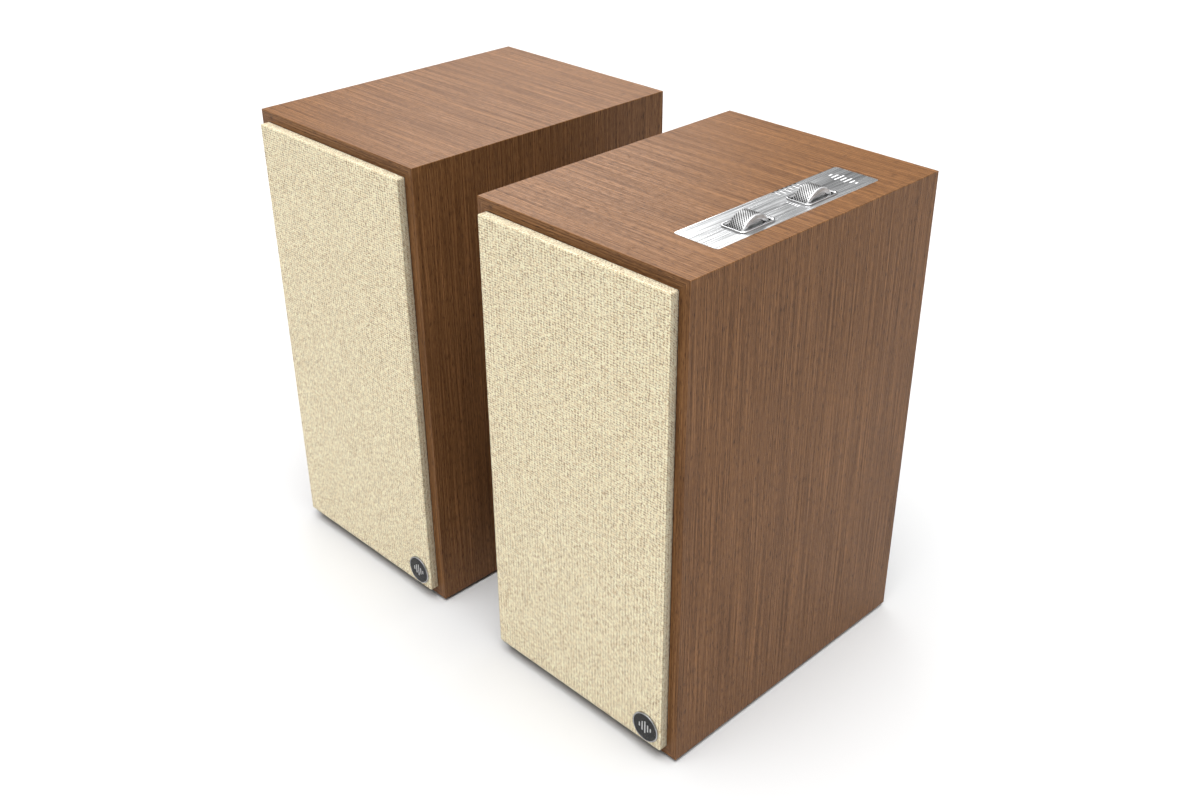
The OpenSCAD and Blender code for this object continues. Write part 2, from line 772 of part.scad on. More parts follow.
// A three-pin mains inlet below a well for the power rocker, in one moulding
module mains_inlet() {
  body_d = 22;
  pocket_d = 17;
  pin = [2, 4, 12];
  color("black") in_cabinet(primary) difference() {
    out_of_back(inlet_place.x, inlet_place.y) {
      tube_block(50, 62, 3, sheet_t, inlet_face);
      tube_block(45, 57, 2, -body_d, sheet_t);
    }
    out_of_back(inlet_place.x, inlet_place.y - 13) difference() {
      tube_block(24, 16.5, 2, inlet_face - pocket_d, inlet_face + over);
      for (p = [[-7, 2], [7, 2], [0, -2.5]])
        translate([p.x - pin.x / 2, p.y - pin.y / 2, inlet_face - pocket_d - over]) cube(pin);
    }
    out_of_back(rocker_place.x, rocker_place.y) {
      tube_block(22, 15.4, 1, inlet_face - 14, inlet_face + over);
      translate([-13, 0, inlet_face - rocker_pin_d]) rotate([0, 90, 0])
        cylinder(r = rocker_pin_r + 0.05, h = 26);
    }
  }
}

// A rocker with its lower half pressed in, on pins that turn in the inlet's housing
module power_rocker() {
  w = 21;
  pin_l = 24.8;
  color("darkslategray") in_cabinet(primary) out_of_back(rocker_place.x, rocker_place.y)
    translate([0, 0, inlet_face - rocker_pin_d]) rotate([-rocker_tilt, 0, 0]) rotate([0, 90, 0]) {
      translate([0, 0, -w / 2]) linear_extrude(w)
        polygon([[4, -6.4], [4, 6.4], [-5.2, 6.4], [-4.2, 0], [-5.2, -6.4]]);
      translate([0, 0, -pin_l / 2]) cylinder(r = rocker_pin_r, h = pin_l);
    }
}

// A round four-pin socket for the lead between the cabinets
module link_socket() {
  depth = 12;
  proud = sheet_t + 3;
  difference() {
    translate([0, 0, proud - depth - 2]) cylinder(r = link_r, h = depth + 2);
    translate([0, 0, proud - depth]) cylinder(r = link_bore_r, h = depth + over);
  }
  for (a = [45 : 90 : 315])
    rotate(a) translate([3.8, 0, proud - depth - 1]) cylinder(r = 0.8, h = 6);
}

// A phono socket: the sleeve that the plug grips, its collar and the centre contact's bore
module rca_jack() {
  difference() {
    union() {
      translate([0, 0, -pcb_y]) cylinder(r = rca_r, h = pcb_y + sheet_t + rca_l);
      translate([0, 0, sheet_t]) cylinder(r = 5.5, h = 1);
    }
    translate([0, 0, sheet_t + 1]) cylinder(r = 1.6, h = rca_l + over);
  }
}

module signal_jacks() {
  color("gold") in_cabinet(primary) {
    for (p = rca_places) out_of_back(p.x, p.y) rca_jack();
    out_of_back(aux_place.x, aux_place.y) difference() {
      union() {
        translate([0, 0, -pcb_y]) cylinder(r = 3, h = pcb_y + sheet_t + 2);
        translate([0, 0, sheet_t]) cylinder(r = 4.2, h = 1.6);
      }
      translate([0, 0, -12]) cylinder(r = aux_bore_r, h = 12 + sheet_t + 2 + over);
    }
    out_of_back(optical_place.x, optical_place.y) difference() {
      tube_block(10, 10, 1, -pcb_y, sheet_t + 1.5);
      tube_block(7, 7, 0.5, -8, sheet_t + 2.5);
    }
    out_of_back(link_place.x, link_place.y) link_socket();
    out_of_back(slider_place.x, slider_place.y) difference() {
      tube_block(18, 8, 0.5, -8, 0);
      tube_block(slider_travel + 5.2, 5.6, 0.5, -3, over);
    }
    out_of_back(ground_place.x, ground_place.y) {
      translate([0, 0, -6]) cylinder(r = axle_r, h = 6 + rear_proud);
      translate([0, 0, sheet_t]) cylinder(r = 5, h = 1.5);
      translate([0, 0, -4]) cylinder(r = 4, h = 4);
    }
  }
}

module input_slider() {
  color("black") in_cabinet(primary) out_of_back(slider_place.x - slider_travel / 2, slider_place.y)
    tube_block(4.6, 5, 0.4, -2.6, sheet_t + 2.4);
}

module ground_nut() {
  ribs = 24;
  nut_r = 5.6;
  color("gold") in_cabinet(primary) out_of_back(ground_place.x, ground_place.y) difference() {
    translate([0, 0, sheet_t + 2]) cylinder(r = nut_r, h = 8);
    cylinder(r = axle_bore_r, h = rear_proud);
    for (k = [0 : ribs - 1])
      rotate(360 * k / ribs) translate([nut_r + 0.3, 0, sheet_t + over]) cylinder(r = 0.6, h = 10, $fn = 16);
  }
}

module link_socket_plate() {
  color("black") in_cabinet(secondary) {
    difference() {
      out_of_back(0, link_z) tube_block(link_plate_w, link_plate_h, 4, 0, sheet_t);
      out_of_back(0, link_z) translate([0, 0, -over]) cylinder(r = link_r - 0.5, h = sheet_t + 2 * over);
      link_screw_places() translate([0, 0, -over]) cylinder(r = screw_hole_r, h = sheet_t + 2 * over);
    }
    out_of_back(0, link_z) link_socket();
  }
}

// ---- inner wiring ----

// A point of a list, held at the first or the last beyond its ends
function held(p, i) = p[max(0, min(len(p) - 1, i))];

// A point on the smooth curve from b to c, at t from 0 to 1; a and d are the points before and after
function between(a, b, c, d, t) =
  0.5 * (2 * b + (c - a) * t + (2 * a - 5 * b + 4 * c - d) * t * t + (3 * b - a - 3 * c + d) * t * t * t);

function smooth(p, steps) = [
  for (i = [0 : len(p) - 2], s = [0 : steps - 1])
    between(held(p, i - 1), p[i], p[i + 1], held(p, i + 2), s / steps),
  p[len(p) - 1]
];

function unit(v) = v / norm(v);

function heading(p, i) = unit(held(p, i + 1) - held(p, i - 1));

// A round lead along a smooth route; up is a direction that the route never runs along
module lead(route, up) {
  sides = 8;
  lead_r = 1.2;
  p = smooth(route, 5);
  n = len(p);
  points = [
    for (i = [0 : n - 1])
      let (u = unit(cross(heading(p, i), up)), v = cross(heading(p, i), u))
        for (k = [0 : sides - 1]) p[i] + lead_r * (cos(360 * k / sides) * u + sin(360 * k / sides) * v)
  ];
  sleeve = [
    for (i = [0 : n - 2], k = [0 : sides - 1])
      [i * sides + k, i * sides + (k + 1) % sides, (i + 1) * sides + (k + 1) % sides, (i + 1) * sides + k]
  ];
  start_cap = [for (k = [sides - 1 : -1 : 0]) k];
  end_cap = [for (k = [0 : sides - 1]) (n - 1) * sides + k];
  polyhedron(points, concat(sleeve, [start_cap, end_cap]));
}

// Routes of the leads, as points in the cabinet: how they start at the amplifier or the link socket, how they
// end at the woofer's and the tweeter's terminals, and the whole lead to the controls
woofer_end = [[-78, 100, 132], [-76, 66, 126], [-68, 50, 125], [-56.4, 48, 125]];
tweeter_end = [[-42, 190, 240], [-42, 150, 270], [-34, 100, 294], [-18, 70, 300], [-14, 54.4, 300]];
amp_woofer_start = [[-48, 247.5, 195], [-49, 235, 194], [-62, 205, 190], [-76, 150, 165]];
amp_tweeter_start = [[-42, 247.5, 195], [-42, 235, 197], [-42, 210, 212]];
link_woofer_start = [[-3, 264.6, 110], [-4, 250, 112], [-30, 215, 125], [-68, 150, 138]];
link_tweeter_start = [[3, 264.6, 110], [2, 250, 118], [-20, 220, 160], [-40, 205, 210]];
controls_route = [
  [30, 233.6, 190], [34, 222, 196], [44, 210, 214], [47, 205, 240], [48, 196, 320], [54, 185, 358],
  [58, 180, 375.4]
];

module primary_wiring() {
  color("firebrick") in_cabinet(primary) {
    lead(concat(amp_woofer_start, woofer_end), [0, 0, 1]);
    lead(concat(amp_tweeter_start, tweeter_end), [1, 0, 0]);
    lead(controls_route, [1, 0, 0]);
  }
}

module secondary_wiring() {
  color("firebrick") in_cabinet(secondary) {
    lead(concat(link_woofer_start, woofer_end), [0, 0, 1]);
    lead(concat(link_tweeter_start, tweeter_end), [1, 0, 0]);
  }
}

cabinet_wrap(primary);  // primary_cabinet_wrap
baffle(primary);  // primary_baffle
back_panel(primary);  // primary_back_panel
brace(primary);  // primary_brace
feet(primary);  // primary_feet
port_tube(primary);  // primary_port_tube
woofer_basket(primary);  // primary_woofer_basket
woofer_motor(primary);  // primary_woofer_motor
woofer_cone(primary);  // primary_woofer_cone
voice_coil(primary);  // primary_voice_coil
woofer_surround(primary);  // primary_woofer_surround
woofer_spider(primary);  // primary_woofer_spider
tweeter_horn(primary);  // primary_tweeter_horn
tweeter_dome(primary);  // primary_tweeter_dome
tweeter_motor(primary);  // primary_tweeter_motor
screws(primary);  // primary_screws
baffle_magnets(primary);  // primary_baffle_magnets
grille_frame(primary);  // primary_grille_frame
grille_cloth(primary);  // primary_grille_cloth
grille_badge(primary);  // primary_grille_badge
grille_magnets(primary);  // primary_grille_magnets
control_plate();
wheel_bezels();
wheel_carrier();
control_board();
thumb_wheel(volume_y);  // volume_wheel
thumb_wheel(source_y);  // source_wheel
status_lights();
amplifier_plate();
amplifier_board();
power_transformer();
mains_inlet();
power_rocker();
signal_jacks();
input_slider();
ground_nut();
primary_wiring();
cabinet_wrap(secondary);  // secondary_cabinet_wrap
baffle(secondary);  // secondary_baffle
back_panel(secondary);  // secondary_back_panel
brace(secondary);  // secondary_brace
feet(secondary);  // secondary_feet
port_tube(secondary);  // secondary_port_tube
woofer_basket(secondary);  // secondary_woofer_basket
woofer_motor(secondary);  // secondary_woofer_motor
woofer_cone(secondary);  // secondary_woofer_cone
voice_coil(secondary);  // secondary_voice_coil
woofer_surround(secondary);  // secondary_woofer_surround
woofer_spider(secondary);  // secondary_woofer_spider
tweeter_horn(secondary);  // secondary_tweeter_horn
tweeter_dome(secondary);  // secondary_tweeter_dome
tweeter_motor(secondary);  // secondary_tweeter_motor
screws(secondary);  // secondary_screws
baffle_magnets(secondary);  // secondary_baffle_magnets
grille_frame(secondary);  // secondary_grille_frame
grille_cloth(secondary);  // secondary_grille_cloth
grille_badge(secondary);  // secondary_grille_badge
grille_magnets(secondary);  // secondary_grille_magnets
link_socket_plate();
secondary_wiring();
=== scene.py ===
import math

import bmesh
import bpy
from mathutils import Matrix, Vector


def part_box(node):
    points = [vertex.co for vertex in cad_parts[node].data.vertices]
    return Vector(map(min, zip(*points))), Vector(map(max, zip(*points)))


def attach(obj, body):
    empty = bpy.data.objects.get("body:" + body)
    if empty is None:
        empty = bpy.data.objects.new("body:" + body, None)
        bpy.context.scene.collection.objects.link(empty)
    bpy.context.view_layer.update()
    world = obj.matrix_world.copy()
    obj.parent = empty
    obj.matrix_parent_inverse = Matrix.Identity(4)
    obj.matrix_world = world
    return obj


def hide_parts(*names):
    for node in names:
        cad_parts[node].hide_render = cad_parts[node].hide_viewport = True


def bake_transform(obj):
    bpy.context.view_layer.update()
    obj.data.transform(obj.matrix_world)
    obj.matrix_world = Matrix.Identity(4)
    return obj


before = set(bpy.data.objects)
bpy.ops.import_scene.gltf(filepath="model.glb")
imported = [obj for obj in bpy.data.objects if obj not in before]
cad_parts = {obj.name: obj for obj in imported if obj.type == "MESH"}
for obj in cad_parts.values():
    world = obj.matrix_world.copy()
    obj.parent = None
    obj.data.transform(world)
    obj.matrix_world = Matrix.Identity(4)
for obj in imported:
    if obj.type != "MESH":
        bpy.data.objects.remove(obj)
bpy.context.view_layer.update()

MM = 0.001
SIDES = ("primary", "secondary")
BACK_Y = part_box("primary_cabinet_wrap")[1].y
TOP_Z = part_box("primary_cabinet_wrap")[1].z
YARN = 0.5 * MM
WALL = 15 * MM
TURN = 6.28  # radians


# ---------------------------------------------------------------- shader tools

class Shader:
    """A material whose nodes are added one call at a time. Lengths are in metres."""

    def __init__(self, name, color, roughness, **sockets):
        self.material = bpy.data.materials.new(name)
        self.material.use_nodes = True
        self.tree = self.material.node_tree
        self.bsdf = self.tree.nodes["Principled BSDF"]
        self.bsdf.inputs["Base Color"].default_value = (*color, 1)
        self.bsdf.inputs["Roughness"].default_value = roughness
        for socket, value in sockets.items():
            self.bsdf.inputs[socket.replace("_", " ")].default_value = value

    def node(self, kind, inputs=(), **settings):
        made = self.tree.nodes.new("ShaderNode" + kind)
        for key, value in settings.items():
            setattr(made, key, value)
        for socket, value in dict(inputs).items():
            if isinstance(value, bpy.types.NodeSocket):
                self.tree.links.new(value, made.inputs[socket])
            else:
                made.inputs[socket].default_value = value
        return made

    def place(self, stretch=(1, 1, 1), uv_map=None):
        """Position on the piece, or in one of its UV maps, with each axis multiplied by stretch."""
        if uv_map:
            source = self.node("UVMap", uv_map=uv_map).outputs["UV"]
        else:
            source = self.node("TexCoord").outputs["Object"]
        return self.node("Mapping", {"Vector": source, "Scale": stretch}).outputs["Vector"]

    def stretch(self, where, by):
        return self.node("VectorMath", {0: where, 1: by}, operation="MULTIPLY").outputs["Vector"]

    def noise(self, where, scale, detail=3, roughness=0.5):
        inputs = {"Vector": where, "Scale": scale, "Detail": detail, "Roughness": roughness}
        return self.node("TexNoise", inputs).outputs["Fac"]

    def ribs(self, pitch, direction, distortion):
        """Soft parallel bands, about two pitches apart."""
        inputs = {"Vector": self.place(), "Scale": 1 / pitch / TURN, "Distortion": distortion,
                  "Detail": 2, "Detail Scale": 1}
        return self.node("TexWave", inputs, bands_direction=direction).outputs["Fac"]

    def span(self, value, low, high, to_low=0, to_high=1):
        inputs = {"Value": value, "From Min": low, "From Max": high, "To Min": to_low, "To Max": to_high}
        return self.node("MapRange", inputs).outputs["Result"]

    def math(self, operation, a, b=0.0):
        """Adds a math node, such as "ADD" or "MINIMUM"."""
        return self.node("Math", {0: a, 1: b}, operation=operation).outputs["Value"]

    def blend(self, share, a, b):
        """Colour a where share is 0 and b where it is 1."""
        made = self.node("Mix", data_type="RGBA")
        for index, value in ((0, share), (6, a), (7, b)):
            if isinstance(value, bpy.types.NodeSocket):
                self.tree.links.new(value, made.inputs[index])
            elif index:
                made.inputs[index].default_value = (*value, 1)
            else:
                made.inputs[index].default_value = value
        return made.outputs[2]

    def color(self, value):
        self.tree.links.new(value, self.bsdf.inputs["Base Color"])
        return self

    def roughness(self, value):
        self.tree.links.new(value, self.bsdf.inputs["Roughness"])
        return self

    def bump(self, height, depth, strength=1.0):
        """depth is how deep the relief is, in metres, from height 0 to 1."""
        made = self.node("Bump", {"Height": height, "Distance": depth, "Strength": strength})
        self.tree.links.new(made.outputs["Normal"], self.bsdf.inputs["Normal"])
        return self


# ------------------------------------------------------------------- materials

def veneer():
    """Straight-grained walnut. The grain runs along u of the piece's grain map."""
    s = Shader("walnut_veneer", (0.16, 0.075, 0.03), 0.34, Specular_IOR_Level=0.12)
    flow = s.place(uv_map="grain")
    wander = s.noise(s.stretch(flow, (9, 30, 1)), 1.0, 2)
    sway = s.math("MULTIPLY", s.span(wander, 0, 1, -1, 1), 1.5 * MM)
    grain = s.node("VectorMath", {0: flow, 1: s.node("CombineXYZ", {"Y": sway}).outputs["Vector"]},
                   operation="ADD").outputs["Vector"]
    tone = s.noise(s.stretch(grain, (2, 38, 1)), 1.0, 2)
    strands = s.noise(s.stretch(grain, (3, 230, 1)), 1.0, 3, 0.6)
    lines = s.noise(s.stretch(grain, (8, 850, 1)), 1.0, 3, 0.65)
    pores = s.noise(s.stretch(grain, (140, 1700, 1)), 1.0, 2, 0.5)
    color = s.blend(s.span(strands, 0.34, 0.66), (0.138, 0.061, 0.022), (0.232, 0.108, 0.041))
    color = s.blend(s.span(tone, 0.35, 0.68, 0.0, 0.4), color, (0.155, 0.073, 0.031))
    color = s.blend(s.span(lines, 0.36, 0.54, 0.75, 0.0), color, (0.072, 0.029, 0.010))
    color = s.blend(s.span(lines, 0.54, 0.70, 0.0, 0.6), color, (0.350, 0.166, 0.066))
    color = s.blend(s.span(pores, 0.56, 0.68, 0.0, 0.85), color, (0.036, 0.014, 0.006))
    color = s.blend(s.span(pores, 0.30, 0.42, 0.5, 0.0), color, (0.320, 0.155, 0.063))
    s.color(color)
    s.roughness(s.span(lines, 0.35, 0.65, 0.42, 0.30))
    dips = s.math("MULTIPLY", s.span(pores, 0.55, 0.68, 1.0, 0.0), s.span(lines, 0.35, 0.6, 0.5, 1.0))
    return s.bump(dips, 0.08 * MM, 0.6).material


def tweed(name, light):
    """Cream cloth. Each visible length of yarn has its own shade, and every few yarns are lighter."""
    # A light below 1 darkens the whole cloth: painted shade, used for the cloth's sides and hem.
    cream = (0.7 * light, 0.6 * light, 0.42 * light)
    s = Shader(name, cream, 0.95, Sheen_Weight=0.1, Sheen_Roughness=0.6)
    flat = s.place((1 / YARN, 1 / YARN, 1), "weave")
    wobble = s.node("TexNoise", {"Vector": flat, "Scale": 0.2, "Detail": 2}).outputs["Color"]
    loose = s.stretch(wobble, (0.3, 0.3, 0))
    cloth = s.node("VectorMath", {0: flat, 1: loose}, operation="ADD").outputs["Vector"]
    warp_on_top = s.node("TexChecker", {"Vector": cloth, "Scale": 1.0}).outputs["Fac"]

    def yarn_shade(stretch, seed):
        cell = s.node("VectorMath", {0: s.stretch(cloth, stretch)}, operation="FLOOR").outputs["Vector"]
        inputs = {"Vector": cell, "W": seed}
        return s.node("TexWhiteNoise", inputs, noise_dimensions="4D").outputs["Value"]

    warp = s.math("MULTIPLY", yarn_shade((1, 0.25, 1), 1.0), warp_on_top)
    weft = s.math("MULTIPLY", yarn_shade((0.25, 1, 1), 2.0), s.math("SUBTRACT", 1.0, warp_on_top))
    shade = s.span(s.math("ADD", warp, weft), 0, 1, 0.14, 0.86)
    slub = s.noise(s.stretch(cloth, (0.30, 0.06, 1)), 1.0, 3, 0.6)
    shade = s.math("ADD", shade, s.span(slub, 0.3, 0.7, -0.04, 0.04))
    axes = s.node("SeparateXYZ", {"Vector": cloth})
    for axis, yarns, share in (("X", 3, 0.12), ("Y", 2, 0.16)):
        group = s.math("PINGPONG", axes.outputs[axis], yarns)
        shade = s.math("ADD", shade, s.span(group, 0, yarns, -share, share))
    color = s.blend(s.span(shade, 0.14, 0.42), (0.22, 0.128, 0.064), (0.86, 0.67, 0.40))
    color = s.blend(s.span(shade, 0.42, 0.66), color, (1.0, 0.96, 0.70))
    rows = [s.math("PINGPONG", axes.outputs[axis], 0.5) for axis in "XY"]
    dips = s.math("MINIMUM", *rows)
    color = s.blend(s.span(dips, 0.0, 0.25, 0.4, 0.0), color, (0.30, 0.23, 0.145))
    # Painted shade: below a light of 1 the cloth is blended towards dark brown.
    s.color(s.blend(1.0 - light, color, (0.10, 0.09, 0.075)))
    relief = s.math("ADD", s.span(dips, 0.0, 0.4), shade)
    return s.bump(relief, 0.25 * MM, 0.5).material


def knurled():
    """Satin plating with grooves that cross on the piece's knurl map, deeper one way, coloured
    near-black as painted shade.
    """
    s = Shader("knurled_metal", (0.55, 0.55, 0.55), 0.4, Metallic=1.0)
    axes = s.node("SeparateXYZ", {"Vector": s.place(uv_map="knurl")})
    ridges = []
    for operation, share in (("SUBTRACT", 0.7), ("ADD", 0.3)):
        slant = s.math(operation, axes.outputs["X"], axes.outputs["Y"])
        ridges.append(s.math("MULTIPLY", s.math("PINGPONG", slant, 0.5), 2 * share))
    height = s.math("ADD", *ridges)
    smear = s.noise(s.place(), 70, 3)
    light = s.blend(s.span(smear, 0.35, 0.65), (0.50, 0.50, 0.50), (0.60, 0.60, 0.60))
    # Painted shade: the grooves of the knurl are coloured near-black.
    s.color(s.blend(s.span(height, 0.36, 0.62), (0.03, 0.03, 0.03), light))
    s.roughness(s.span(smear, 0.3, 0.7, 0.36, 0.46))
    return s.bump(s.noise(s.place(), 1200, 2), 0.01 * MM, 0.3).material


def brushed(name, color, roughness, along, streak=0.25, anisotropy=0.5):
    """Metal brushed along one axis, "X", "Y" or "Z"."""
    def lengthwise(length, pitch):
        return tuple(1 / (length if axis == along else pitch) for axis in "XYZ")

    s = Shader(name, color, roughness, Metallic=1.0, Anisotropic=anisotropy)
    hairs = s.noise(s.place(lengthwise(60 * MM, 0.8 * MM)), 1.0, 2, 0.6)
    streaks = s.noise(s.place(lengthwise(110 * MM, 1.5 * MM)), 1.0, 3, 0.65)
    both = s.math("ADD", s.math("MULTIPLY", hairs, 0.55), s.math("MULTIPLY", streaks, 0.45))
    dark = tuple(c * (1 - streak) for c in color)
    light = tuple(min(1.0, c * (1 + streak)) for c in color)
    s.color(s.blend(s.span(both, 0.40, 0.60), dark, light))
    s.roughness(s.span(streaks, 0.3, 0.7, roughness * 1.3, roughness * 0.75))
    return s.bump(hairs, 0.02 * MM, 0.5).material


def metal(name, color, roughness):
    """Plated or machined metal with faint smears in its polish."""
    s = Shader(name, color, roughness, Metallic=1.0)
    smear = s.noise(s.place(), 60, 4, 0.6)
    s.color(s.blend(s.span(smear, 0.35, 0.65), tuple(c * 0.86 for c in color), color))
    s.roughness(s.span(smear, 0.3, 0.7, roughness * 0.7, roughness * 1.3))
    return s.bump(s.noise(s.place(), 900, 2), 0.01 * MM, 0.25).material


def moulded(name, color, roughness, grain, depth, variation=0.2, shine=0.5):
    """Moulded plastic, rubber or paint with a fine surface texture, depth millimetres deep."""
    s = Shader(name, color, roughness, Specular_IOR_Level=shine)
    speck = s.noise(s.place(), grain, 3, 0.6)
    cloud = s.noise(s.place(), 35, 3, 0.5)
    lift = tuple(min(1.0, c * 1.5 + 0.004) for c in color)
    s.color(s.blend(s.span(cloud, 0.3, 0.7, 0.0, 0.6), color, lift))
    smoothest, roughest = roughness * (1 - variation), min(1.0, roughness * (1 + variation))
    s.roughness(s.span(speck, 0.3, 0.7, smoothest, roughest))
    return s.bump(speck, depth * MM, 0.5).material


def fibreboard():
    """Raw board: pressed wood fibres, warm tan with darker flecks."""
    s = Shader("raw_fibreboard", (0.45, 0.33, 0.22), 0.85)
    fibre = s.noise(s.place((1, 1, 4)), 500, 4, 0.7)
    cloud = s.noise(s.place(), 25, 3)
    color = s.blend(s.span(fibre, 0.35, 0.7), (0.33, 0.22, 0.13), (0.55, 0.41, 0.27))
    s.color(s.blend(s.span(cloud, 0.3, 0.7, 0.0, 0.3), color, (0.36, 0.25, 0.16)))
    return s.bump(fibre, 0.1 * MM, 0.5).material


def woven(name, color, pitch):
    """Stiffened open cloth, as on a loudspeaker's spider."""
    s = Shader(name, color, 0.8, Sheen_Weight=0.2)
    yarn = s.math("MULTIPLY", s.ribs(pitch, "X", 0.5), s.ribs(pitch, "Z", 0.5))
    cloud = s.noise(s.place(), 120, 3)
    tinted = s.blend(s.span(cloud, 0.3, 0.7), tuple(c * 0.7 for c in color), color)
    s.color(s.blend(s.span(yarn, 0.1, 0.5, 0.6, 0.0), tinted, tuple(c * 0.3 for c in color)))
    return s.bump(yarn, 0.15 * MM).material


def wound(name, color, axis, pitch):
    """Wire laid in fine turns side by side."""
    s = Shader(name, color, 0.3, Metallic=1.0)
    turns = s.ribs(pitch, axis, 0.2)
    s.color(s.blend(s.span(turns, 0.1, 0.6), tuple(c * 0.4 for c in color), color))
    return s.bump(turns, 0.12 * MM).material


def circuit():
    """Green solder mask over copper tracks, with pale pads."""
    s = Shader("circuit_board", (0.02, 0.16, 0.07), 0.3, Coat_Weight=0.3)
    tracks = s.node("TexBrick", {"Vector": s.place(), "Scale": 90, "Mortar Size": 0.035,
                                 "Color1": (0, 0, 0, 1), "Color2": (0, 0, 0, 1), "Mortar": (1, 1, 1, 1)})
    pads = s.node("TexVoronoi", {"Vector": s.place(), "Scale": 260}).outputs["Distance"]
    color = s.blend(tracks.outputs["Color"], (0.012, 0.10, 0.045), (0.03, 0.22, 0.09))
    s.color(s.blend(s.span(pads, 0.12, 0.2, 0.8, 0.0), color, (0.65, 0.62, 0.5)))
    return s.bump(tracks.outputs["Color"], 0.05 * MM, 0.4).material


def paper_cone():
    """Coated pulp with a faint felted surface."""
    s = Shader("cone_paper", (0.03, 0.03, 0.032), 0.6)
    felt = s.noise(s.place(), 420, 5, 0.75)
    s.color(s.blend(s.span(felt, 0.35, 0.7), (0.018, 0.018, 0.02), (0.055, 0.053, 0.052)))
    s.roughness(s.span(felt, 0.3, 0.7, 0.5, 0.72))
    return s.bump(felt, 0.25 * MM, 0.6).material


VENEER = veneer()
TWEED = tweed("grille_tweed", light=1.0)
# A darker copy of the tweed for the cloth's sides and hem: painted shade where the cloth turns away from
# the light.
TWEED_PAINTED_SHADE = tweed("grille_tweed_painted_shade", light=0.7)
PLATE = brushed("brushed_plate", (0.54, 0.545, 0.55), 0.3, along="Y", streak=0.55)
CHROME = metal("bezel_chrome", (0.80, 0.80, 0.81), 0.1)
KNURLED = knurled()
SATIN = metal("wheel_satin", (0.74, 0.74, 0.74), 0.58)
# Near-black with little shine: painted shade for the inside of the wheel slots.
SLOT_PAINTED_SHADE = moulded("slot_painted_shade", (0.003, 0.003, 0.003), 0.8, grain=900, depth=0.02, shine=0.1)
NICKEL = metal("magnet_nickel", (0.72, 0.71, 0.68), 0.18)
BADGE_RING = metal("badge_ring", (0.42, 0.42, 0.43), 0.2)
BADGE_MARK = metal("badge_mark", (0.55, 0.55, 0.56), 0.3)
BADGE_FACE = moulded("badge_face", (0.010, 0.010, 0.011), 0.3, grain=900, depth=0.02, variation=0.9,
                     shine=0.2)
MARKING = moulded("white_marking", (0.86, 0.86, 0.86), 0.45, grain=900, depth=0.01)
LENS = moulded("light_lens", (0.008, 0.010, 0.012), 0.3, grain=300, depth=0.01, shine=0.15)
PAINTED_BOARD = moulded("black_board", (0.020, 0.020, 0.020), 0.62, grain=700, depth=0.12)
RAW_BOARD = fibreboard()
RUBBER = moulded("foot_rubber", (0.022, 0.022, 0.022), 0.75, grain=1200, depth=0.08)
SURROUND = moulded("surround_rubber", (0.018, 0.018, 0.018), 0.42, grain=800, depth=0.02)
PLASTIC = moulded("black_plastic", (0.020, 0.020, 0.021), 0.48, grain=1600, depth=0.05)
GLOSSY = moulded("rocker_plastic", (0.016, 0.016, 0.017), 0.24, grain=500, depth=0.01)
POWDER = moulded("powder_coat", (0.026, 0.026, 0.027), 0.5, grain=1000, depth=0.16)
OXIDE = metal("black_screw_steel", (0.07, 0.07, 0.075), 0.35)
ZINC = metal("zinc_steel", (0.42, 0.42, 0.43), 0.3)
BRASS = metal("gold_plate", (0.86, 0.62, 0.28), 0.2)
DOME = brushed("dome_aluminium", (0.78, 0.78, 0.80), 0.25, along="Y", streak=0.05, anisotropy=0.0)
CONE = paper_cone()
SPIDER = woven("spider_cloth", (0.52, 0.33, 0.13), pitch=0.6 * MM)
COPPER = wound("copper_wire", (0.66, 0.31, 0.14), axis="Y", pitch=0.3 * MM)
CORE = brushed("core_steel", (0.30, 0.30, 0.31), 0.42, along="Z", streak=0.2)
CIRCUIT = circuit()
LEAD = moulded("lead_insulation", (0.42, 0.035, 0.03), 0.4, grain=900, depth=0.03)
RED = moulded("red_insulator", (0.55, 0.02, 0.02), 0.35, grain=900, depth=0.02)
WHITE = moulded("white_insulator", (0.80, 0.80, 0.78), 0.35, grain=900, depth=0.02)


# ------------------------------------------------------------------ mesh tools

def add_object(name, bm, materials, body, replaces=(), smooth=False):
    """Makes a piece from a bmesh, which rides on body and stands for the CAD nodes in replaces."""
    bmesh.ops.recalc_face_normals(bm, faces=bm.faces)
    mesh = bpy.data.meshes.new(name)
    bm.to_mesh(mesh)
    bm.free()
    for m in materials:
        mesh.materials.append(m)
    if smooth:
        mesh.polygons.foreach_set("use_smooth", [True] * len(mesh.polygons))
    piece = bpy.data.objects.new(name, mesh)
    bpy.context.scene.collection.objects.link(piece)
    if body:
        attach(piece, body)
    if replaces:
        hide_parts(*replaces)
    return piece


def split_edges(piece, degrees=32):
    modifier = piece.modifiers.new("crisp_edges", "EDGE_SPLIT")
    modifier.split_angle = math.radians(degrees)


def dress(node, material, smooth=True, bevel=0.0):
    """Gives a CAD node its material, with smooth round faces and bevelled edges if asked."""
    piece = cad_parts[node]
    piece.data.materials.clear()
    piece.data.materials.append(material)
    if bevel:
        flatten = piece.modifiers.new("merge_flat_faces", "DECIMATE")
        flatten.decimate_type = "DISSOLVE"
        flatten.angle_limit = math.radians(1)
        rounding = piece.modifiers.new("edge_bevel", "BEVEL")
        rounding.width = bevel
        rounding.segments = 2
        rounding.limit_method = "ANGLE"
        rounding.angle_limit = math.radians(40)
    if smooth:
        piece.data.polygons.foreach_set("use_smooth", [True] * len(piece.data.polygons))
        split_edges(piece)


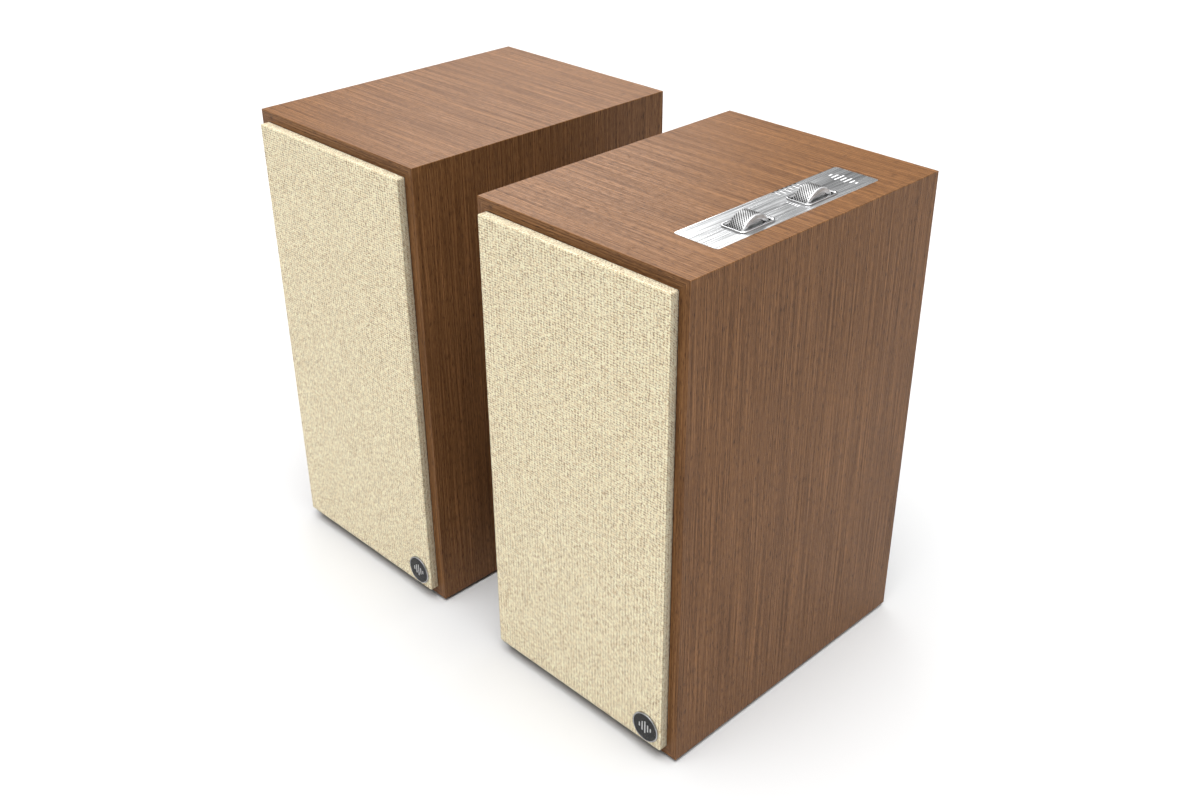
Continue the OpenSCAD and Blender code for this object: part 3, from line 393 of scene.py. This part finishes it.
def skin(bm, loops, close_ends=False, material=0, layer=None, unwrap=None):
    """Joins each loop of points to the next with quads. Returns the loops' vertices.

    With a UV layer, unwrap(row, step, point) gives each corner's place in it.
    """
    rows = [[bm.verts.new(p) for p in loop] for loop in loops]
    for i, (a, b) in enumerate(zip(rows, rows[1:])):
        for k in range(len(a)):
            n = (k + 1) % len(a)
            face = bm.faces.new((a[k], a[n], b[n], b[k]))
            face.material_index = material
            if layer:
                for corner, row, step in zip(face.loops, (i, i, i + 1, i + 1), (k, k + 1, k + 1, k)):
                    corner[layer].uv = unwrap(row, step, corner.vert.co)
    if close_ends:
        bm.faces.new(rows[0][::-1]).material_index = material
        bm.faces.new(rows[-1]).material_index = material
    return rows


def rounded_loop(w, h, r, steps=6):
    """Points (a, b) round a rectangle w by h with corners of radius r, from the right side upwards."""
    points = []
    for k, (sx, sy) in enumerate(((1, 1), (-1, 1), (-1, -1), (1, -1))):
        for i in range(steps + 1):
            angle = math.radians(90 * k + 90 * i / steps)
            points.append((sx * (w / 2 - r) + r * math.cos(angle),
                           sy * (h / 2 - r) + r * math.sin(angle)))
    return points


def circle_loop(r, steps=64):
    angles = [2 * math.pi * k / steps for k in range(steps)]
    return [(r * math.cos(angle), r * math.sin(angle)) for angle in angles]


def on_front(points, centre, y):
    """Places flat points (a, b) facing the listener: a along X and b along Z."""
    return [Vector((centre.x + a, y, centre.z + b)) for a, b in points]


def on_top(points, centre, z):
    return [Vector((centre.x + a, centre.y + b, z)) for a, b in points]


def revolve(bm, profile, centre, axis, steps=96, material=0):
    """Turns a closed profile of (radius, distance along axis) points about a line through centre."""
    across = {"X": ("y", "z"), "Y": ("x", "z"), "Z": ("x", "y")}[axis]
    loops = []
    for radius, along in profile:
        loop = []
        for a, b in circle_loop(radius, steps):
            p = centre.copy()
            setattr(p, axis.lower(), getattr(centre, axis.lower()) + along)
            setattr(p, across[0], getattr(centre, across[0]) + a)
            setattr(p, across[1], getattr(centre, across[1]) + b)
            loop.append(p)
        loops.append(loop)
    skin(bm, loops + [loops[0]], material=material)
    bmesh.ops.remove_doubles(bm, verts=bm.verts, dist=1e-7)


def islands(node):
    """(lowest corner, highest corner) of each separate solid in a CAD node."""
    bm = bmesh.new()
    bm.from_mesh(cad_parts[node].data)
    bmesh.ops.remove_doubles(bm, verts=bm.verts, dist=1e-6)
    left, found = set(bm.verts), []
    while left:
        group, waiting = set(), [left.pop()]
        while waiting:
            v = waiting.pop()
            group.add(v)
            for e in v.link_edges:
                other = e.other_vert(v)
                if other in left:
                    left.remove(other)
                    waiting.append(other)
        found.append((Vector([min(v.co[i] for v in group) for i in range(3)]),
                      Vector([max(v.co[i] for v in group) for i in range(3)])))
    bm.free()
    return sorted(found, key=lambda c: tuple(c[0]))


def middle(node):
    low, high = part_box(node)
    return (low + high) / 2


# --------------------------------------------------------------------- cabinet

def wrap_uv(side, point, low, high):
    """The veneer's own map: u runs round the cabinet, as it was cut from one board, and v runs back."""
    width, height = high.x - low.x, high.z - low.z
    inset = min(point.x - low.x, high.x - point.x, point.z - low.z, high.z - point.z)
    along = {
        "left": point.z - low.z,
        "top": height + point.x - low.x,
        "right": height + width + high.z - point.z,
        "bottom": 2 * height + width + high.x - point.x,
    }[side]
    back = point.y > (low.y + high.y) / 2
    return along, point.y - low.y + (inset if back else -inset)


def rectangle(low, high, y):
    """Corners from bottom left, round by bottom right."""
    return [Vector((low.x, y, low.z)), Vector((high.x, y, low.z)), Vector((high.x, y, high.z)),
            Vector((low.x, y, high.z))]


def wrap_sections(side):
    """The rectangles that the wrap's surface joins: from the outer front edge in, back and out."""
    low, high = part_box(f"{side}_cabinet_wrap")
    wall = Vector((WALL, 0, WALL))
    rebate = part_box(f"{side}_baffle")
    front_step = rebate[1].y
    back_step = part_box(f"{side}_back_panel")[0].y
    inner = (low + wall, high - wall)
    stations = [((low, high), low.y), (rebate, low.y), (rebate, front_step), (inner, front_step),
                (inner, back_step), (rebate, back_step), (rebate, high.y), ((low, high), high.y)]
    return [rectangle(*corners, y) for corners, y in stations]


def wrap_walls(bm, sections):
    """Builds the four walls. Returns each face's wall, by name."""
    weight = bm.edges.layers.float.new("bevel_weight_edge")
    rows = [[bm.verts.new(p) for p in section] for section in sections]
    walls = {}
    for i, a in enumerate(rows):
        b = rows[(i + 1) % len(rows)]
        outside = i == len(rows) - 1
        for k, wall in enumerate(("bottom", "right", "top", "left")):
            n = (k + 1) % 4
            walls[bm.faces.new((a[k], a[n], b[n], b[k]))] = wall
            if i == 0 or outside:
                bm.edges.get((a[k], a[n]))[weight] = 1
            if outside:
                bm.edges.get((a[k], b[k]))[weight] = 1
    return walls


def open_face(bm, face, rim):
    """Replaces a face by one with a hole in it, which ends at the vertices in rim."""
    edges = list(face.edges)
    edges += [bm.edges.get(pair) for pair in zip(rim, rim[1:] + rim[:1])]
    bmesh.ops.delete(bm, geom=[face], context="FACES_ONLY")
    bmesh.ops.triangle_fill(bm, edges=edges, use_beauty=True)


def cut_control_window(bm, walls):
    """Cuts the control plate's seat into the top, and the window through the wood below it."""
    low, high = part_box("control_plate")
    centre, size = (low + high) / 2, high - low
    play, ledge_w, ledge_l = 0.1 * MM, 3.5 * MM, 10.5 * MM
    outline = rounded_loop(size.x + 2 * play, size.y + 2 * play, 3 * MM)
    window = rounded_loop(size.x - 2 * ledge_w, size.y - 2 * ledge_l, 2 * MM)
    level = [f for f in walls if len({round(v.co.z, 6) for v in f.verts}) == 1]
    tops = [f for f in level if walls[f] == "top"]
    outer = max(tops, key=lambda f: f.verts[0].co.z)
    inner = min(tops, key=lambda f: f.verts[0].co.z)
    ceiling = inner.verts[0].co.z
    rows = skin(bm, [on_top(outline, centre, TOP_Z), on_top(outline, centre, low.z),
                     on_top(window, centre, low.z), on_top(window, centre, ceiling)])
    del walls[outer], walls[inner]
    open_face(bm, outer, rows[0])
    open_face(bm, inner, rows[-1])


def cabinet_wrap(side):
    """Four mitred veneered walls with rebates for the front and back boards."""
    node = f"{side}_cabinet_wrap"
    low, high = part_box(node)
    bm = bmesh.new()
    walls = wrap_walls(bm, wrap_sections(side))
    if side == "primary":
        cut_control_window(bm, walls)
    grain = bm.loops.layers.uv.new("grain")
    for face in bm.faces:
        for corner in face.loops:
            corner[grain].uv = wrap_uv(walls.get(face, "top"), corner.vert.co, low, high)
    piece = add_object(f"{side}_veneered_cabinet", bm, [VENEER], f"{side}_cabinet",
                       [node])
    rounding = piece.modifiers.new("edge_bevel", "BEVEL")
    rounding.width = 0.4 * MM
    rounding.segments = 2
    rounding.limit_method = "WEIGHT"


# ---------------------------------------------------------------------- grille

def cloth_loops(low, high, turn_in):
    """Outlines of the cloth from the middle of its front, round the edges, to its hem at the back."""
    centre, size = (low + high) / 2, high - low
    edge, corner, steps = 0.8 * MM, 1.6 * MM, 9
    dip, dip_reach, hem_y = 0.3 * MM, 20 * MM, high.y + 0.1 * MM

    def outline(inset, y):
        loop = rounded_loop(size.x - 2 * inset, size.z - 2 * inset, max(0.6 * MM, corner - inset))
        return on_front(loop, centre, y)

    loops = []
    for k in range(steps, 0, -1):
        spread = (size.x / 2 - edge - 1 * MM) * (k / steps) ** 1.5
        loops.append(outline(edge + spread, low.y + dip * (1 - math.exp(-spread / dip_reach))))
    for k in range(6):
        angle = math.radians(18 * k)
        loops.append(outline(edge * (1 - math.sin(angle)), low.y + edge * (1 - math.cos(angle))))
    loops.append(outline(0, high.y - 0.4 * MM))
    loops.append(outline(0.5 * MM, hem_y))
    loops.append(outline(turn_in, hem_y))
    return loops


def grille_cloth(side):
    """Cloth pulled over the frame, round its edges and turned in behind it."""
    node = f"{side}_grille_cloth"
    low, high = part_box(node)
    centre, size = (low + high) / 2, high - low
    turn_in = 6 * MM

    def unroll(_row, _step, point):
        """Where a point lies once the cloth is laid flat: the edges add their depth to the front."""
        depth = point.y - low.y
        near_side = abs(point.x - centre.x) > size.x / 2 - 3 * MM
        near_end = abs(point.z - centre.z) > size.z / 2 - 3 * MM
        return (point.x + math.copysign(depth * near_side, point.x - centre.x),
                point.z + math.copysign(depth * near_end, point.z - centre.z))

    bm = bmesh.new()
    layer = bm.loops.layers.uv.new("weave")
    rows = skin(bm, cloth_loops(low, high, turn_in), layer=layer, unwrap=unroll)
    middle_face = bm.faces.new(rows[0][::-1])
    for corner in middle_face.loops:
        corner[layer].uv = unroll(0, 0, corner.vert.co)
    for face in bm.faces:
        # The sides and hem, behind the front face, wear the darker tweed: painted shade.
        face.material_index = int(face.calc_center_median().y > low.y + 0.5 * MM)
    piece = add_object(f"{side}_tweed_cover", bm, [TWEED, TWEED_PAINTED_SHADE], f"{side}_grille",
                       [node], smooth=True)
    thickness = piece.modifiers.new("cloth_thickness", "SOLIDIFY")
    thickness.thickness = 0.6 * MM


def grille_badge(side):
    """A round badge: a bright ring round a dark gloss disc with a generic mark of sound level bars."""
    low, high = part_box(f"{side}_grille_badge")
    face_y = low.y
    radius = (high.x - low.x) / 2
    centre = (low + high) / 2
    back_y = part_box(f"{side}_grille_cloth")[0].y + 0.2 * MM
    ring = 1.2 * MM
    bm = bmesh.new()
    depth = back_y - face_y
    crown = [(1, 0.55), (1, 0.25), (0.8, 0.05), (0.5, 0.0), (0.2, 0.1), (0, 0.4)]
    profile = [(radius - ring * inward, down * MM) for inward, down in crown]
    profile += [(radius, depth), (radius - ring, depth)]
    revolve(bm, profile, Vector((centre.x, face_y, centre.z)), "Y")
    disc = circle_loop(radius - ring + 0.02 * MM)
    dish = ((0.3, 0.32), (0.7, 0.36), (1.0, 0.45), (1.0, 1.1), (0.3, 1.1))
    rows = skin(bm, [on_front([(a * share, b * share) for a, b in disc], centre, face_y + down * MM)
                     for share, down in dish], material=1)
    bm.faces.new(rows[0]).material_index = 1
    bm.faces.new(rows[-1]).material_index = 1
    heights = (0.35, 0.75, 1.0, 0.6, 0.3)
    for k, share in enumerate(heights):
        a = (k - 2) * radius * 0.22
        bar = rounded_loop(radius * 0.1, radius * 0.9 * share, radius * 0.04)
        place = Vector((centre.x + a, 0, centre.z))
        ends = [on_front(bar, place, face_y + down * MM) for down in (0.22, 0.5)]
        skin(bm, ends, close_ends=True, material=2)
    add_object(f"{side}_badge", bm, [BADGE_RING, BADGE_FACE, BADGE_MARK], f"{side}_grille",
               [f"{side}_grille_badge"])


# -------------------------------------------------------------------- controls

def bowed(points, length, sag):
    """Bends the two ends of an outline, so that its corners lie back by sag."""
    half_w = max(a for a, _ in points)
    bent = []
    for a, b in points:
        nearness = (abs(b) / (length / 2)) ** 4
        bent.append((a, b - math.copysign(sag * (a / half_w) ** 2, b) * nearness))
    return bent


def wheel_bezels():
    """Raised bright rims round the two wheel openings, with walls down into the openings in near-black
    painted shade.
    """
    bm = bmesh.new()
    for wheel in ("volume_wheel", "source_wheel"):
        near = middle(wheel)
        low, high = next(c for c in islands("wheel_bezels") if c[0].y < near.y < c[1].y)
        size, centre = high - low, (low + high) / 2
        slot_w, slot_l, neck_play, bow = 15.9 * MM, 30.5 * MM, 1 * MM, 0.9 * MM
        rim_w, rim_l, height = size.x - slot_w, size.y - slot_l, high.z - TOP_Z

        def outline(inward, z):
            w, l = size.x - rim_w * inward, size.y - rim_l * inward
            loop = rounded_loop(w, l, (4 - 2.7 * inward) * MM)
            return on_top(bowed(loop, l, bow * (1 - inward)), centre, z)

        profile = ((0, 0), (0.01, 0.65), (0.07, 0.9), (0.18, 1), (0.5, 0.88), (0.82, 0.7), (0.95, 0.6),
                   (1, 0.4))
        rim = [outline(inward, TOP_Z + height * up) for inward, up in profile]
        neck = rounded_loop(slot_w + neck_play, slot_l + neck_play, 1.8 * MM)
        walls = [rim[-1], outline(1, low.z), on_top(neck, centre, low.z),
                 on_top(neck, centre, TOP_Z - 0.2 * MM), rim[0]]
        skin(bm, rim)
        # The walls into the openings belong to the bright bezel and are coloured near-black as painted
        # shade.
        skin(bm, walls, material=1)
    bmesh.ops.remove_doubles(bm, verts=bm.verts, dist=1e-7)
    piece = add_object("chrome_bezels", bm, [CHROME, SLOT_PAINTED_SHADE], "primary_cabinet",
                       ["wheel_bezels"], smooth=True)
    split_edges(piece, degrees=50)


def thumb_wheel(node):
    """A wheel with a knurled band, a round bright rim and a dished face on each side, on its axle."""
    low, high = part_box(node)
    centre = (low + high) / 2
    radius = (high.z - low.z) / 2
    half, teeth, steps = 7.25 * MM, 46, 144
    face_x, hub_r, axle_r = half - 1.4 * MM, 3 * MM, 2 * MM
    tooth = 2 * math.pi * radius / teeth
    rim = [(1.15, 0), (0.9, 0.1), (0.4, 0.6), (0.1, 1.4), (0, 2.3), (0.1, 3.1), (0.4, 3.7), (1.3, 4.2)]
    side = [(half - inward * MM, radius - down * MM) for inward, down in rim]
    side += [(face_x, hub_r), (face_x, axle_r), (high.x - centre.x, axle_r)]
    stations = [(-x, r) for x, r in reversed(side)] + side

    def ring(x, r):
        return [centre + Vector((x, a, b)) for a, b in circle_loop(r, steps)]

    def unwrap(row, step, _point):
        return (teeth * step / steps, stations[row][0] / tooth)

    bm = bmesh.new()
    rows = skin(bm, [ring(x, r) for x, r in stations], material=1, layer=bm.loops.layers.uv.new("knurl"),
                unwrap=unwrap)
    bm.faces.new(rows[0][::-1]).material_index = 1
    bm.faces.new(rows[-1]).material_index = 1
    for face in bm.faces:
        if abs(face.calc_center_median().x - centre.x) < 1 * MM:
            face.material_index = 0
    piece = add_object(f"knurled_{node}", bm, [KNURLED, SATIN], node, [node],
                       smooth=True)
    split_edges(piece, degrees=24)


def plate_marks():
    """Generic printed marks: a dash beside each status light, level ticks by a wheel and a bar motif."""
    low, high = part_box("control_plate")
    z = high.z
    thick = 0.06 * MM
    bm = bmesh.new()

    def mark(x, y, w, l):
        outline = rounded_loop(w, l, min(w, l) * 0.3, 2)
        centre = Vector((x, y, 0))
        ends = [on_top(outline, centre, z - thick), on_top(outline, centre, z + thick)]
        skin(bm, ends, close_ends=True)

    lights = sorted(islands("status_lights"), key=lambda c: c[0].y)
    for k, (light_low, light_high) in enumerate(lights):
        length = (4.2 + 1.3 * (k % 3)) * MM
        mark(light_high.x + 1.6 * MM + length / 2, (light_low.y + light_high.y) / 2, length, 0.6 * MM)
    source = middle("source_wheel")
    for k in range(5):
        mark(source.x + (k - 2) * 2.4 * MM, source.y - 21.5 * MM, 0.7 * MM, (1.4 + 0.5 * k) * MM)
    for k, height in enumerate((4, 8, 12, 7, 10, 6, 3)):
        mark((low.x + high.x) / 2 + (k - 3) * 3.9 * MM, high.y - 17 * MM, 1.2 * MM, height * MM)
    add_object("plate_marks", bm, [MARKING], "primary_cabinet")


# --------------------------------------------------------------------- drivers

def woofer_surround(side):
    """Half-roll rubber between the cone and the basket."""
    low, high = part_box(f"{side}_woofer_surround")
    centre = (low + high) / 2
    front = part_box(f"{side}_baffle")[0].y
    landing = front + 3 * MM
    roll, size, skin_t = 65 * MM, 5.2 * MM, 0.8 * MM
    outer = (high.x - low.x) / 2
    inner = 56.8 * MM

    def arc(radius, degrees):
        angles = [math.radians(a) for a in degrees]
        return [(roll - radius * math.cos(a), -radius * math.sin(a)) for a in angles]

    profile = [(inner, -skin_t)]
    for r, y in arc(size, range(0, 181, 12)):
        foot = abs(r - roll) > size - 0.6 * MM
        profile.append((r, min(y, -skin_t) if foot else y))
    profile += [(outer, -skin_t), (outer, 0)] + arc(size - skin_t, range(180, -1, -12)) + [(inner, 0)]
    bm = bmesh.new()
    revolve(bm, profile, Vector((centre.x, landing, centre.z)), "Y")
    piece = add_object(f"{side}_rubber_surround", bm, [SURROUND], None,
                       [f"{side}_woofer_surround"], smooth=True)
    bend_between(piece)


def woofer_spider(side):
    """Corrugated cloth ring that centres the voice coil."""
    low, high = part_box(f"{side}_woofer_spider")
    centre = (low + high) / 2
    outer, inner = (high.x - low.x) / 2, 19.4 * MM
    wave, waves, steps, skin_t = 1.2 * MM, 4, 48, 0.8 * MM
    line = [(inner + (outer - inner) * k / steps,
             -wave * (1 - math.cos(2 * math.pi * waves * k / steps))) for k in range(steps + 1)]
    profile = [(r, y - skin_t) for r, y in line] + [(r, y) for r, y in reversed(line)]
    bm = bmesh.new()
    revolve(bm, profile, Vector((centre.x, high.y, centre.z)), "Y")
    piece = add_object(f"{side}_cloth_spider", bm, [SPIDER], None,
                       [f"{side}_woofer_spider"], smooth=True)
    bend_between(piece)


def bend_between(piece):
    """Bakes the piece's placement into its mesh."""
    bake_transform(piece)


# -------------------------------------------------------------- back and screws

def screw_heads(side):
    """Pan heads with a hexagonal socket, on the drivers at the front and the plates at the back."""
    bm = bmesh.new()
    steps, head_t, shank_r = 48, 1.6 * MM, 2 * MM
    for low, high in islands(f"{side}_screws"):
        centre = (low + high) / 2
        out = 1 if centre.y > 0 else -1
        face = high.y if out > 0 else low.y
        length = high.y - low.y
        head_r = (high.x - low.x) / 2
        hexagon = []
        for k in range(steps):
            turn = (k % (steps // 6)) / (steps // 6) * math.pi / 3 - math.pi / 6
            r = 0.38 * head_r / math.cos(turn)
            angle = 2 * math.pi * k / steps
            hexagon.append((r * math.cos(angle), r * math.sin(angle)))
        rings = [(hexagon, 0.8 * head_t), (hexagon, 0.02 * MM)]
        for r, depth in ((0.72 * head_r, 0.0), (0.92 * head_r, 0.18 * head_t), (head_r, 0.45 * head_t),
                         (head_r, head_t), (shank_r, head_t), (shank_r, length)):
            rings.append((circle_loop(r, steps), depth))
        rows = skin(bm, [on_front(points, centre, face - out * depth) for points, depth in rings])
        bm.faces.new(rows[0])
        bm.faces.new(rows[-1])
    piece = add_object(f"{side}_socket_screws", bm, [OXIDE], f"{side}_cabinet",
                       [f"{side}_screws"], smooth=True)
    split_edges(piece)


def jack_inserts():
    """Coloured insulators in the phono sockets, one red and two white."""
    flange_w, shortest, longest = 11 * MM, 9 * MM, 12 * MM
    sleeves = [c for c in islands("signal_jacks")
               if abs(c[1].x - c[0].x - flange_w) < 0.6 * MM
               and BACK_Y + shortest < c[1].y < BACK_Y + longest]
    bore_r, sleeve_r, proud, sunk = 1.65 * MM, 3.3 * MM, 0.12 * MM, -0.4 * MM
    profile = [(bore_r, proud), (sleeve_r, proud), (sleeve_r, sunk), (bore_r, sunk)]
    bm = bmesh.new()
    for k, (low, high) in enumerate(sorted(sleeves, key=lambda c: c[0].z)):
        centre = Vector(((low.x + high.x) / 2, high.y, (low.z + high.z) / 2))
        revolve(bm, profile, centre, "Y", steps=48, material=0 if k == 0 else 1)
    add_object("jack_insulators", bm, [RED, WHITE], "primary_cabinet")


# ------------------------------------------------------------------- assemble

CABINET_LOOKS = {
    "baffle": PAINTED_BOARD,
    "back_panel": PAINTED_BOARD,
    "brace": RAW_BOARD,
    "feet": RUBBER,
    "port_tube": PLASTIC,
    "woofer_basket": POWDER,
    "woofer_motor": ZINC,
    "woofer_cone": CONE,
    "voice_coil": COPPER,
    "tweeter_horn": PLASTIC,
    "tweeter_dome": DOME,
    "tweeter_motor": ZINC,
    "baffle_magnets": NICKEL,
    "grille_magnets": NICKEL,
    "grille_frame": PLASTIC,
    "wiring": LEAD,
}

CONTROL_AND_BACK_LOOKS = {
    # The carrier is black plastic, given the slots' near-black painted shade as well.
    "wheel_carrier": SLOT_PAINTED_SHADE,
    "control_board": CIRCUIT,
    "amplifier_plate": POWDER,
    "amplifier_board": CIRCUIT,
    "power_transformer": CORE,
    "mains_inlet": PLASTIC,
    "power_rocker": GLOSSY,
    "input_slider": PLASTIC,
    "ground_nut": BRASS,
    "link_socket_plate": POWDER,
}


def dress_sockets():
    """Gold plate on the phono and headphone sockets, and black plastic at the row's two ends."""
    end_w = 18 * MM
    dress("signal_jacks", BRASS)
    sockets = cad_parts["signal_jacks"].data
    sockets.materials.append(GLOSSY)
    low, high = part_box("signal_jacks")
    for face in sockets.polygons:
        from_end = min(face.center.x - low.x, high.x - face.center.x)
        face.material_index = int(from_end < end_w)


for side in SIDES:
    cabinet_wrap(side)
    grille_cloth(side)
    grille_badge(side)
    woofer_surround(side)
    woofer_spider(side)
    screw_heads(side)
    for part, material in CABINET_LOOKS.items():
        dress(f"{side}_{part}", material)
for node, material in CONTROL_AND_BACK_LOOKS.items():
    dress(node, material)
dress("control_plate", PLATE, bevel=0.3 * MM)
dress("status_lights", LENS, smooth=False)
dress_sockets()
wheel_bezels()
thumb_wheel("volume_wheel")
thumb_wheel("source_wheel")
plate_marks()
jack_inserts()


# ------------------------------------------------------------- floor and light

def floor():
    bm = bmesh.new()
    bmesh.ops.create_grid(bm, x_segments=1, y_segments=1, size=15)
    mesh = bpy.data.meshes.new("floor")
    bm.to_mesh(mesh)
    bm.free()
    made = bpy.data.objects.new("floor", mesh)
    bpy.context.scene.collection.objects.link(made)
    mesh.materials.append(Shader("pale_floor", (0.52, 0.52, 0.52), 0.95).material)


def softbox(name, place, target, size, power):
    light = bpy.data.lights.new(name, "AREA")
    light.shape = "RECTANGLE"
    light.size, light.size_y = size
    light.energy = power
    made = bpy.data.objects.new(name, light)
    made.location = place
    made.rotation_mode = "QUATERNION"
    made.rotation_quaternion = (Vector(target) - Vector(place)).to_track_quat("-Z", "Y")
    bpy.context.scene.collection.objects.link(made)


def sky():
    """White light, bright overhead and dim towards the horizon. The camera sees a pale backdrop."""
    horizon, overhead, seen, steepness = 0.105, 3.0, 0.9, 3.0
    world = bpy.data.worlds.new("studio")
    world.use_nodes = True
    tree = world.node_tree
    direction = tree.nodes.new("ShaderNodeTexCoord")
    height = tree.nodes.new("ShaderNodeSeparateXYZ")
    falloff = tree.nodes.new("ShaderNodeMath")
    falloff.operation = "POWER"
    falloff.inputs[1].default_value = steepness
    strength = tree.nodes.new("ShaderNodeMapRange")
    strength.inputs["To Min"].default_value = horizon
    strength.inputs["To Max"].default_value = overhead
    ray = tree.nodes.new("ShaderNodeLightPath")
    backdrop = tree.nodes.new("ShaderNodeMix")
    backdrop.inputs["B"].default_value = seen
    tree.links.new(direction.outputs["Generated"], height.inputs["Vector"])
    tree.links.new(height.outputs["Z"], falloff.inputs[0])
    tree.links.new(falloff.outputs["Value"], strength.inputs["Value"])
    tree.links.new(strength.outputs["Result"], backdrop.inputs["A"])
    tree.links.new(ray.outputs["Is Camera Ray"], backdrop.inputs["Factor"])
    tree.links.new(backdrop.outputs["Result"], tree.nodes["Background"].inputs["Strength"])
    tree.nodes["Background"].inputs["Color"].default_value = (1, 1, 1, 1)
    bpy.context.scene.world = world


def key_light():
    """A broad light high above the camera's side."""
    light = bpy.data.lights.new("key", "SUN")
    light.energy = 3.0
    light.angle = math.radians(50)
    made = bpy.data.objects.new("key", light)
    made.rotation_euler = (math.radians(16), 0, math.radians(30))
    bpy.context.scene.collection.objects.link(made)


def camera():
    """The photograph's viewpoint, in cabinet heights from the cabinet's bottom front left corner."""
    low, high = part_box("primary_cabinet_wrap")
    height = high.z - low.z
    azimuth, elevation = math.radians(44.985), math.radians(30.258)
    data = bpy.data.cameras.new("camera")
    data.sensor_width = 36
    data.lens = 40.07
    data.shift_x = -0.01154
    data.shift_y = 0.00662
    made = bpy.data.objects.new("camera", data)
    made.location = low + Vector((1.73372, -1.39502, 1.85855)) * height
    forward = Vector((-math.sin(azimuth) * math.cos(elevation),
                      math.cos(azimuth) * math.cos(elevation),
                      -math.sin(elevation)))
    made.rotation_mode = "QUATERNION"
    made.rotation_quaternion = forward.to_track_quat("-Z", "Y")
    bpy.context.scene.collection.objects.link(made)
    bpy.context.scene.camera = made


floor()
sky()
key_light()
softbox("sheen", place=(-2.14, 1.79, 1.8), target=(0, 0, 0.4), size=(1.2, 0.8), power=13.5)
camera()
bpy.context.scene.view_settings.view_transform = "Standard"
